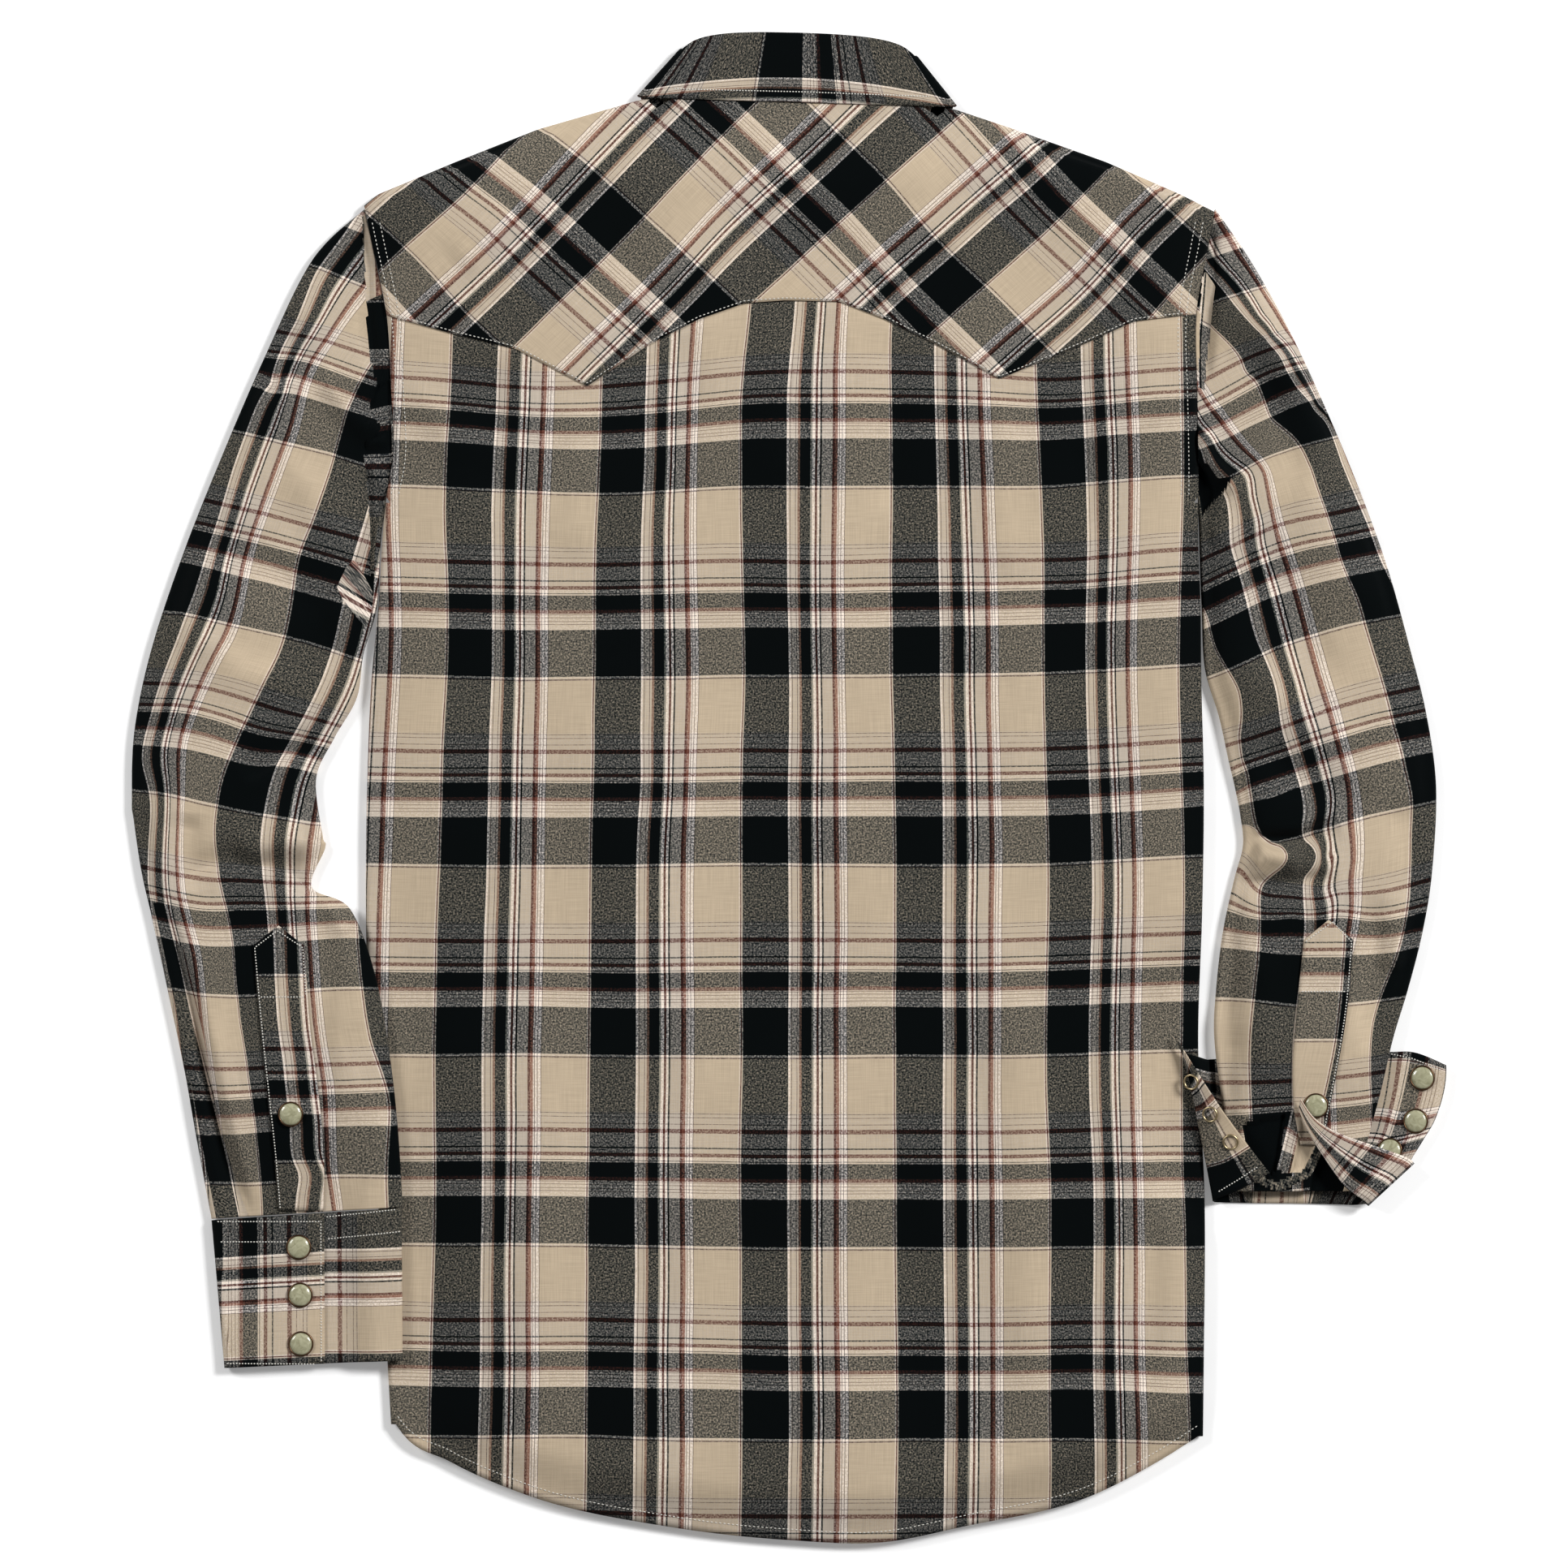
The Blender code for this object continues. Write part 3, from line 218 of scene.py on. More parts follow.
# Where the check's lines lie: x, y, repeats across the warps and along them,
# each counted from the start of a black band.
BODY_GRAIN = np.array((
    (-0.4, 258.1, 3.25, 0.307), (-190.5, 242.2, 0.892, 0.417), (-143, 226.4, 1.475, 0.533),
    (-48, 226.4, 2.677, 0.594), (47.1, 242.2, 3.886, 0.471), (142.1, 226.4, 5.096, 0.579),
    (173.8, 242.2, 5.496, 0.443), (-174.7, 210.5, 1.095, 0.736), (-16.3, 210.5, 3.112, 0.78),
    (110.4, 210.5, 4.695, 0.767), (-206.4, 178.9, 0.735, 1.087), (-79.6, 178.9, 2.274, 1.043),
    (15.4, 194.7, 3.489, 0.936), (62.9, 194.7, 4.085, 0.935), (173.8, 178.9, 5.466, 1.115),
    (-190.5, 147.2, 0.936, 1.399), (-143, 163, 1.506, 1.216), (-32.1, 147.2, 2.91, 1.398),
    (62.9, 147.2, 4.078, 1.398), (126.3, 147.2, 4.86, 1.396), (-174.7, 115.5, 1.116, 1.705),
    (-95.5, 131.3, 2.101, 1.53), (15.4, 131.3, 3.497, 1.547), (47.1, 115.5, 3.893, 1.711),
    (158, 131.3, 5.249, 1.563), (189.6, 115.5, 5.687, 1.756), (-222.2, 83.8, 0.522, 2.024),
    (-127.2, 99.7, 1.717, 1.851), (-79.6, 83.8, 2.297, 2.013), (-32.1, 99.7, 2.896, 1.866),
    (15.4, 83.8, 3.493, 2.02), (94.6, 83.8, 4.446, 2.03), (142.1, 99.7, 5.047, 1.883),
    (-174.7, 68, 1.116, 2.166), (-143, 52.1, 1.52, 2.313), (-63.8, 52.1, 2.489, 2.317),
    (-0.4, 52.1, 3.286, 2.326), (47.1, 52.1, 3.886, 2.327), (110.4, 52.1, 4.64, 2.333),
    (205.5, 52.1, 5.916, 2.376), (-190.5, 20.5, 0.951, 2.633), (-95.5, 36.3, 2.113, 2.473),
    (-32.1, 20.5, 2.906, 2.636), (15.4, 20.5, 3.482, 2.633), (94.6, 20.5, 4.436, 2.639),
    (142.1, 36.3, 5.04, 2.49), (-158.8, -11.2, 1.343, 2.948), (-111.3, -11.2, 1.931, 2.945),
    (-79.6, 4.6, 2.301, 2.788), (-16.3, -11.2, 3.105, 2.952), (47.1, 4.6, 3.873, 2.798),
    (126.3, 4.6, 4.826, 2.8), (173.8, -11.2, 5.442, 2.97), (221.3, -11.2, 6.107, 3.002),
    (-206.4, -27.1, 0.776, 3.102), (-63.8, -27.1, 2.521, 3.102), (-0.4, -42.9, 3.292, 3.258),
    (110.4, -27.1, 4.616, 3.106), (142.1, -42.9, 5.01, 3.26), (-190.5, -74.6, 0.99, 3.56),
    (-158.8, -58.7, 1.355, 3.399), (-95.5, -74.6, 2.137, 3.557), (62.9, -58.7, 4.053, 3.405),
    (110.4, -74.6, 4.621, 3.559), (173.8, -58.7, 5.425, 3.43), (221.3, -74.6, 6.1, 3.602),
    (-32.1, -90.4, 2.914, 3.72), (15.4, -90.4, 3.478, 3.719), (-222.2, -106.3, 0.612, 3.873),
    (-143, -122.1, 1.565, 4.032), (47.1, -122.1, 3.871, 4.029), (126.3, -106.3, 4.821, 3.877),
    (-190.5, -153.8, 1.005, 4.332), (-127.2, -153.8, 1.762, 4.334), (-79.6, -137.9, 2.33, 4.173),
    (-16.3, -153.8, 3.101, 4.325), (31.2, -153.8, 3.675, 4.326), (94.6, -137.9, 4.426, 4.176),
    (142.1, -153.8, 5.03, 4.332), (189.6, -137.9, 5.666, 4.199), (-143, -185.5, 1.57, 4.649),
    (62.9, -169.6, 4.055, 4.481), (110.4, -185.5, 4.622, 4.633), (173.8, -185.5, 5.437, 4.648),
    (-79.6, -201.3, 2.339, 4.795), (-32.1, -201.3, 2.922, 4.789), (31.2, -201.3, 3.673, 4.787),
    (158, -217.1, 5.204, 4.946), (221.3, -201.3, 6.107, 4.797), (-206.4, -248.8, 0.818, 5.261),
    (-174.7, -233, 1.19, 5.11), (-127.2, -233, 1.773, 5.11), (-16.3, -248.8, 3.107, 5.242),
    (62.9, -248.8, 4.05, 5.241), (110.4, -233, 4.613, 5.092), (-190.5, -280.5, 1.018, 5.565),
    (-79.6, -264.7, 2.337, 5.407), (110.4, -280.5, 4.609, 5.543), (189.6, -264.7, 5.635, 5.399),
    (-206.4, -312.2, 0.844, 5.883), (-158.8, -312.2, 1.39, 5.878), (-127.2, -296.3, 1.776, 5.727),
    (-48, -312.2, 2.726, 5.87), (-16.3, -296.3, 3.106, 5.706), (31.2, -296.3, 3.67, 5.702),
    (158, -312.2, 5.209, 5.867), (221.3, -296.3, 6.081, 5.697), (-190.5, -343.9, 1.035, 6.175),
    (-143, -343.9, 1.587, 6.181), (-95.5, -328, 2.157, 6.028), (-0.4, -328, 3.289, 6.01),
    (78.8, -328, 4.227, 6.012), (205.5, -343.9, 5.833, 6.147), (-63.8, -359.7, 2.535, 6.314),
    (15.4, -359.7, 3.478, 6.308), (110.4, -359.7, 4.609, 6.31), (-111.3, -375.5, 1.973, 6.482),
    (-32.1, -391.4, 2.92, 6.614), (62.9, -391.4, 4.047, 6.614), (142.1, -375.5, 4.995, 6.463),
))

YOKE_GRAIN = np.array((
    (-128, 351.8, 0.818, 0.248), (-85.8, 365.9, 0.552, 0.588), (-43.6, 365.9, 0.177, 0.861),
    (-1.3, 365.9, -0.196, 1.139), (40.9, 365.9, -0.57, 1.427), (83.2, 351.8, -1.04, 1.642),
    (125.4, 351.8, -1.397, 1.956), (-184.4, 323.6, 1.093, -0.303), (-142.1, 323.6, 0.708, -0.042),
    (-114, 337.7, 0.565, 0.225), (-85.8, 337.7, 0.31, 0.396), (-57.6, 337.7, 0.058, 0.566),
    (-15.4, 323.6, -0.467, 0.751), (12.8, 337.7, -0.577, 1.044), (55, 323.6, -1.07, 1.236),
    (97.2, 337.7, -1.293, 1.652), (153.6, 337.7, -1.781, 2.069), (-212.5, 309.5, 1.184, -0.64),
    (-198.4, 295.5, 0.945, -0.65), (-170.3, 295.5, 0.715, -0.446), (-114, 295.5, 0.197, -0.063),
    (-99.9, 309.5, 0.193, 0.118), (-85.8, 295.5, -0.051, 0.112), (-71.7, 309.5, -0.058, 0.292),
    (-57.6, 295.5, -0.327, 0.285), (-43.6, 309.5, -0.338, 0.467), (-29.5, 295.5, -0.609, 0.46),
    (12.8, 309.5, -0.845, 0.844), (26.8, 295.5, -1.097, 0.843), (55, 295.5, -1.343, 1.057),
    (83.2, 295.5, -1.582, 1.265), (111.3, 309.5, -1.69, 1.569), (125.4, 295.5, -1.939, 1.569),
    (139.5, 309.5, -1.922, 1.783), (181.7, 309.5, -2.352, 2.067), (209.9, 309.5, -2.624, 2.259),
    (224, 295.5, -2.919, 2.248), (-212.5, 267.3, 0.804, -0.981), (-184.4, 267.3, 0.57, -0.75),
    (-142.1, 281.4, 0.325, -0.348), (-99.9, 267.3, -0.18, -0.172), (-57.6, 267.3, -0.594, 0.099),
    (-29.5, 267.3, -0.87, 0.274), (-1.3, 281.4, -0.984, 0.548), (40.9, 267.3, -1.489, 0.747),
    (69.1, 267.3, -1.736, 0.962), (111.3, 267.3, -2.09, 1.254), (153.6, 281.4, -2.321, 1.668),
    (195.8, 281.4, -2.766, 1.961), (-170.3, 253.2, 0.319, -0.744),
    (-142.1, 239.1, -0.059, -0.659), (-114, 239.1, -0.323, -0.471),
    (-71.7, 253.2, -0.593, -0.087), (83.2, 253.2, -1.987, 0.962), (125.4, 239.1, -2.494, 1.155),
    (181.7, 253.2, -2.874, 1.66),
))

LEFT_SLEEVE_GRAIN = np.array((
    (-283.4, 229.5, 0.213, 0.843), (-271.9, 229.5, 0.391, 0.833), (-260.5, 229.5, 0.586, 0.814),
    (-283.4, 195.1, 0.419, 1.189), (-283.4, 218, 0.281, 0.962), (-283.4, 206.6, 0.353, 1.076),
    (-271.9, 218, 0.468, 0.951), (-271.9, 206.6, 0.528, 1.059), (-271.9, 195.1, 0.578, 1.164),
    (-260.5, 206.6, 0.697, 1.035), (-260.5, 218, 0.652, 0.924), (-260.5, 195.1, 0.732, 1.141),
    (-283.4, 183.7, 0.48, 1.297), (-283.4, 172.3, 0.536, 1.403), (-271.9, 172.3, 0.685, 1.38),
    (-271.9, 183.7, 0.632, 1.271), (-260.5, 183.7, 0.775, 1.244), (-260.5, 172.3, 0.835, 1.355),
    (-249, 172.3, 0.975, 1.326), (-249, 183.7, 0.934, 1.218), (-237.6, 183.7, 1.081, 1.185),
    (-317.7, 149.4, 0.138, 1.705), (-294.8, 160.8, 0.436, 1.539), (-283.4, 137.9, 0.702, 1.742),
    (-283.4, 160.8, 0.592, 1.514), (-271.9, 160.8, 0.737, 1.488), (-260.5, 149.4, 0.93, 1.565),
    (-249, 137.9, 1.104, 1.651), (-329.1, 115.1, 0.149, 2.059), (-306.2, 126.5, 0.428, 1.905),
    (-283.4, 115.1, 0.795, 1.957), (-260.5, 126.5, 1.034, 1.795), (-340.6, 80.7, 0.153, 2.369),
    (-329.1, 92.2, 0.263, 2.266), (-317.7, 80.7, 0.464, 2.352), (-306.2, 103.6, 0.5, 2.107),
    (-294.8, 80.7, 0.736, 2.307), (-283.4, 92.2, 0.843, 2.164), (-271.9, 80.7, 1.001, 2.254),
    (-260.5, 103.6, 1.076, 2.005), (-329.1, 46.4, 0.512, 2.748), (-329.1, 69.3, 0.384, 2.482),
    (-306.2, 69.3, 0.677, 2.454), (-294.8, 46.4, 0.927, 2.66), (-283.4, 57.9, 0.984, 2.512),
    (-271.9, 46.4, 1.151, 2.584), (-260.5, 69.3, 1.165, 2.337), (-249, 57.9, 1.339, 2.405),
    (-237.6, 46.4, 1.527, 2.476), (-352, 23.5, 0.254, 2.988), (-340.6, 35, 0.383, 2.869),
    (-317.7, 23.5, 0.79, 2.951), (-306.2, 35, 0.865, 2.809), (-283.4, 23.5, 1.153, 2.855),
    (-260.5, 35, 1.336, 2.675), (-249, 35, 1.464, 2.641), (-352, 12.1, 0.262, 3.099),
    (-352, -10.8, 0.17, 3.338), (-340.6, 0.7, 0.405, 3.209), (-317.7, -10.8, 0.859, 3.271),
    (-306.2, 0.7, 1.006, 3.145), (-294.8, 12.1, 1.083, 2.998), (-294.8, -10.8, 1.169, 3.226),
    (-283.4, 0.7, 1.266, 3.104), (-271.9, 12.1, 1.354, 2.982), (-271.9, -10.8, 1.423, 3.193),
    (-260.5, 0.7, 1.524, 3.076), (-317.7, -33.7, 0.87, 3.493), (-306.2, -22.2, 1.053, 3.355),
    (-283.4, -22.2, 1.315, 3.315), (-260.5, -22.2, 1.58, 3.276), (-317.7, -56.5, 0.829, 3.707),
    (-294.8, -45.1, 1.172, 3.585), (-294.8, -68, 1.119, 3.827), (-340.6, -79.4, 0.349, 3.981),
    (-317.7, -90.9, 0.68, 4.044), (-294.8, -102.3, 1.074, 4.147), (-260.5, -90.9, 1.586, 4.073),
    (-237.6, -79.4, 1.932, 3.972), (-226.2, -102.3, 2.061, 4.187), (-306.2, -113.7, 0.841, 4.256),
    (-294.8, -125.2, 1.03, 4.367), (-249, -113.7, 1.728, 4.29), (-294.8, -148.1, 0.965, 4.6),
    (-283.4, -159.5, 1.141, 4.724), (-237.6, -159.5, 1.776, 4.745),
    (-226.2, -136.6, 1.991, 4.513), (-294.8, -170.9, 0.912, 4.833),
    (-283.4, -182.4, 1.082, 4.954), (-249, -182.4, 1.625, 4.982), (-214.7, -170.9, 2.006, 4.873),
    (-214.7, -193.8, 2.014, 5.096), (-283.4, -216.7, 1.03, 5.271), (-249, -205.3, 1.615, 5.202),
    (-226.2, -216.7, 1.886, 5.305),
))

RIGHT_SLEEVE_GRAIN = np.array((
    (249, 225.1, 1.009, 0.718), (260.5, 225.1, 1.11, 0.768), (260.5, 202.2, 0.997, 0.972),
    (226.2, 122.1, 0.12, 1.665), (237.6, 133.5, 0.286, 1.603), (237.6, 110.7, 0.212, 1.825),
    (249, 122.1, 0.38, 1.768), (260.5, 133.5, 0.553, 1.706), (271.9, 122.1, 0.643, 1.849),
    (283.4, 110.7, 0.736, 1.985), (283.4, 133.5, 0.822, 1.768), (226.2, 99.2, 0.042, 1.877),
    (237.6, 76.3, 0.091, 2.13), (249, 87.8, 0.277, 2.079), (260.5, 99.2, 0.439, 2.025),
    (260.5, 76.3, 0.37, 2.228), (271.9, 87.8, 0.531, 2.165), (294.8, 76.3, 0.748, 2.329),
    (294.8, 99.2, 0.828, 2.12), (306.2, 87.8, 0.928, 2.253), (317.7, 99.2, 1.092, 2.163),
    (317.7, 76.3, 1.017, 2.385), (271.9, 64.9, 0.463, 2.365), (329.1, 53.5, 1.069, 2.623),
    (237.6, 19.1, -0.111, 2.681), (249, 30.6, 0.04, 2.597), (260.5, 30.6, 0.212, 2.638),
    (260.5, 19.1, 0.172, 2.756), (271.9, 42, 0.392, 2.566), (283.4, 19.1, 0.441, 2.833),
    (283.4, 30.6, 0.481, 2.724), (294.8, 42, 0.639, 2.648), (306.2, 19.1, 0.702, 2.901),
    (317.7, 30.6, 0.88, 2.824), (317.7, 42, 0.904, 2.713), (340.6, 19.1, 1.081, 2.979),
    (340.6, 30.6, 1.118, 2.87), (249, 7.7, -0.002, 2.83), (260.5, 7.7, 0.13, 2.869),
    (271.9, -3.7, 0.231, 3.016), (283.4, 7.7, 0.403, 2.941), (294.8, -3.7, 0.506, 3.082),
    (306.2, 7.7, 0.666, 3.006), (329.1, 7.7, 0.939, 3.062), (340.6, -3.7, 1.034, 3.19),
    (283.4, -15.2, 0.347, 3.164), (294.8, -38.1, 0.488, 3.432), (306.2, -26.6, 0.623, 3.336),
    (317.7, -15.2, 0.754, 3.252), (340.6, -26.6, 1.039, 3.408), (249, -72.4, -0.081, 3.829),
    (271.9, -72.4, 0.199, 3.828), (294.8, -60.9, 0.493, 3.689), (306.2, -49.5, 0.632, 3.545),
    (317.7, -72.4, 0.793, 3.81), (329.1, -49.5, 0.903, 3.59), (340.6, -60.9, 1.054, 3.734),
    (249, -83.8, -0.073, 3.95), (260.5, -95.3, 0.069, 4.045), (271.9, -83.8, 0.207, 3.934),
    (306.2, -95.3, 0.711, 4.038), (317.7, -83.8, 0.822, 3.93), (329.1, -95.3, 1.007, 4.057),
    (340.6, -83.8, 1.114, 3.967), (249, -129.6, -0.023, 4.378), (249, -106.7, -0.05, 4.168),
    (260.5, -118.1, 0.101, 4.264), (260.5, -129.6, 0.116, 4.366), (271.9, -106.7, 0.237, 4.139),
    (329.1, -129.6, 1.197, 4.405), (329.1, -118.1, 1.136, 4.287), (237.6, -152.5, -0.155, 4.578),
    (260.5, -152.5, 0.131, 4.576), (249, -175.3, -0.024, 4.794), (260.5, -175.3, 0.121, 4.804),
    (257, -25.7, 0, 3.217), (261.8, -30.1, 0, 3.25), (267.5, -32.3, 0, 3.3),
    (270.2, -37.6, 0, 3.38), (267.5, -43.3, 0, 3.46), (260.9, -49.1, 0, 3.545),
    (257, -53.9, 0, 3.6), (278.5, -13.4, 0.297, 3.13), (277.6, -22.2, 0.297, 3.22),
    (279, -28.8, 0.297, 3.27), (283.8, -33.2, 0.297, 3.33), (285.6, -37.6, 0.297, 3.38),
    (283.4, -43.3, 0.297, 3.44), (279.4, -48.2, 0.297, 3.5), (278.5, -57.4, 0.297, 3.6),
    (291.3, -17.8, 0.475, 3.2), (291.3, -37.6, 0.475, 3.4), (291.3, -57.4, 0.475, 3.6),
    (249.9, -35.4, -0.12, 3.52), (245.5, -48.6, -0.14, 3.66), (226.6, 93.5, 0, 1.93),
    (234.5, 70.2, 0, 2.173), (244.2, 52.6, 0, 2.373), (246, 39.4, 0, 2.503),
    (245.1, 28.4, 0, 2.607), (246.4, 15.2, 0, 2.747), (250.4, 0.7, 0, 2.903),
    (249, -26.6, -0.08, 3.4), (232.3, 30.6, -0.16, 2.548), (237.6, -13.4, -0.18, 3.017),
    (230.6, 274.8, 1.294, 0.125), (241.1, 260.7, 1.294, 0.308), (248.6, 251.9, 1.294, 0.431),
    (257.4, 243.1, 1.294, 0.562), (264.4, 234.3, 1.294, 0.684), (268.8, 225.5, 1.294, 0.79),
    (275, 215.4, 1.294, 0.907), (282, 207.9, 1.294, 1.006), (289.1, 199.1, 1.294, 1.123),
    (294.8, 187.7, 1.294, 1.265), (298.8, 175.8, 1.294, 1.401), (303.6, 163.9, 1.294, 1.52),
    (308, 153.8, 1.294, 1.619), (313.7, 140.6, 1.294, 1.759), (320.8, 121.7, 1.294, 1.957),
    (232.3, 287.1, 1.485, 0.005), (238, 280.1, 1.485, 0.096), (248.6, 266.9, 1.485, 0.266),
    (255.6, 255, 1.485, 0.422), (263.1, 244.9, 1.485, 0.562), (271.5, 236.1, 1.485, 0.685),
    (279.4, 222.9, 1.485, 0.846), (286.9, 207.9, 1.485, 1.023), (233.6, 304.7, 1.61, -0.172),
    (240.2, 294.6, 1.61, -0.046), (246.8, 283.6, 1.61, 0.087), (253.9, 272.6, 1.61, 0.223),
    (262.2, 259.4, 1.61, 0.395), (267.5, 250.6, 1.61, 0.512), (232.3, 247.1, 1, 0.418),
    (239.8, 239.6, 1, 0.529), (245.5, 232.1, 1, 0.632), (252.1, 222, 1, 0.761),
    (260.9, 200.9, 1, 0.988), (269.7, 193.4, 1, 1.117), (277.2, 185.5, 1, 1.238),
    (283.8, 171.4, 1, 1.41), (289.5, 153.8, 1, 1.579), (293.9, 140.6, 1, 1.716),
    (299.2, 123, 1, 1.903), (226.6, 207.9, 0.61, 0.762), (233.6, 199.1, 0.61, 0.873),
    (241.1, 189, 0.61, 1.015), (249.9, 179.3, 0.61, 1.187), (256.5, 171.4, 0.61, 1.317),
    (259.2, 160.4, 0.61, 1.44), (262.2, 145, 0.61, 1.601), (224.8, 194.7, 0.485, 0.878),
    (232.3, 184.6, 0.485, 1.018), (241.1, 175.8, 0.485, 1.171), (248.6, 170.1, 0.485, 1.283),
    (250.8, 158.2, 0.485, 1.421), (254.3, 143.7, 0.485, 1.581), (222.2, 184.6, 0.294, 0.974),
    (226.6, 171.4, 0.294, 1.142), (236.7, 155.1, 0.294, 1.377), (238, 143.7, 0.294, 1.502),
    (271.9, 167.9, 0.84, 1.414),
))

LEFT_SLEEVE_HEAD = np.array((
    (-235.8, 306.5, 0.297, -0.047), (-256.1, 277.9, 0.297, 0.286), (-266.9, 251.5, 0.297, 0.565),
    (-280.1, 217.6, 0.297, 0.94), (-229.7, 271.3, 0.62, 0.248),
))

# Where the black stripe of each placket has its edge: y, x.
LEFT_TOWER_EDGE = np.array((
    (-79.4, -279), (-103.6, -278.1), (-130.9, -276.3), (-148.9, -273.7), (-162.1, -272.4),
    (-180.2, -270.2), (-203.5, -268), (-208.3, -265.9), (-221.5, -266.6), (-233, -268),
))

RIGHT_TOWER_EDGE = np.array((
    (-86, 301.6), (-103.6, 300.3), (-114.6, 299.4), (-127.8, 297.9), (-138.8, 296.5),
    (-149.8, 294.4), (-160.8, 292.1), (-171.8, 289.7),
))

# Cloth turned over or under at a place, and places in the armpits and at the right wrist
# where black threads stand in for shade, wholly or in part (painted shade): its outline,
# places with their grain, and how much lower it lies.
LEFT_FOLDS_AND_PAINTED_SHADE = (
    ((
        (-231.4, 313.1), (-224, 301.2), (-220.9, 277), (-219.6, 267.3), (-229.2, 262.9),
        (-229.7, 277), (-230.6, 294.6),
    ), (
        (-230.1, 294.6, 0.52, 0.45), (-223.1, 294.6, 0.605, 0.45), (-229.2, 268.2, 0.53, 0.3),
        (-220.9, 268.2, 0.62, 0.3),
    ), 0.5),
    ((
        (-229.2, 262.9), (-219.6, 267.3), (-216.5, 241.8), (-215.6, 219.8), (-223.1, 217.1),
        (-227.5, 234.7),
    ), (
        (-229.2, 262.9, 0.12, 0.248), (-216.5, 241.8, 0.26, 0.043), (-227.5, 234.7, 0.12, -0.026),
        (-215.6, 219.8, 0.27, -0.17),
    ), 1),
    # Partly painted shade: black warp over dark wefts in the armpit's deep fold, partly the
    # cloth's own dark stripes.
    ((
        (-223.5, 218), (-215.6, 220.7), (-214.3, 162.6), (-219.6, 145), (-221.8, 118.6),
        (-222.6, 86.9), (-225.7, 90), (-227, 140.6), (-228.8, 167), (-230.6, 186.8),
        (-220.9, 193.4), (-227.5, 206.6),
    ), (
        (-223.5, 218, 0.06, 0.13), (-215.6, 205, 0.2, -0.02), (-229.7, 186.8, 0.05, -0.14),
        (-215.6, 162.6, 0.27, -0.3), (-220.0, 130, 0.2, -0.62), (-225.3, 90, 0.1, -1.0),
    ), 1.6),
    ((
        (-235.4, 123), (-225.7, 106.3), (-223.5, 86.9), (-227.5, 84.3), (-240.7, 100.1),
        (-244.2, 108), (-239.4, 118.6),
    ), (
        (-235.4, 123, 0.62, 0.78), (-223.5, 86.9, 0.44, 0.93), (-242.9, 107.1, 0.5, 0.97),
        (-226.2, 106.3, 0.56, 0.83),
    ), -1),
    ((
        (-327.4, -87.3), (-322.1, -111.1), (-315.9, -140.1), (-309.8, -178.4), (-300.1, -211.4),
        (-291.7, -234.7), (-297, -234.7), (-304, -202.2), (-312.4, -167.4), (-319.4, -140.1),
        (-326.5, -111.1), (-332.6, -83.8),
    ), (
        (-332.6, -83.8, 0.5, 4.004), (-327.4, -87.3, 0.6, 4.026), (-315.9, -140.1, 0.58, 4.522),
        (-304, -202.2, 0.5, 5.13), (-291.7, -234.7, 0.6, 5.439), (-297, -234.7, 0.52, 5.438),
    ), 0.3),
    ((
        (-357.3, -61.8), (-337.5, -62.7), (-332.6, -83.8), (-326.5, -111.1), (-319.4, -140.1),
        (-312.4, -167.4), (-304, -202.2), (-297, -234.7), (-326.5, -234.7),
    ), (
        (-337.5, -62.7, 0.3, 3.808), (-348.5, -62.7, 0.16, 3.831), (-332.6, -83.8, 0.3, 4.004),
        (-343.2, -83.8, 0.17, 4.027), (-319.4, -140.1, 0.3, 4.524), (-330, -140.1, 0.2, 4.533),
        (-304, -202.2, 0.3, 5.13), (-318.6, -202.2, 0.16, 5.131), (-297, -234.7, 0.3, 5.438),
    ), 0),
)

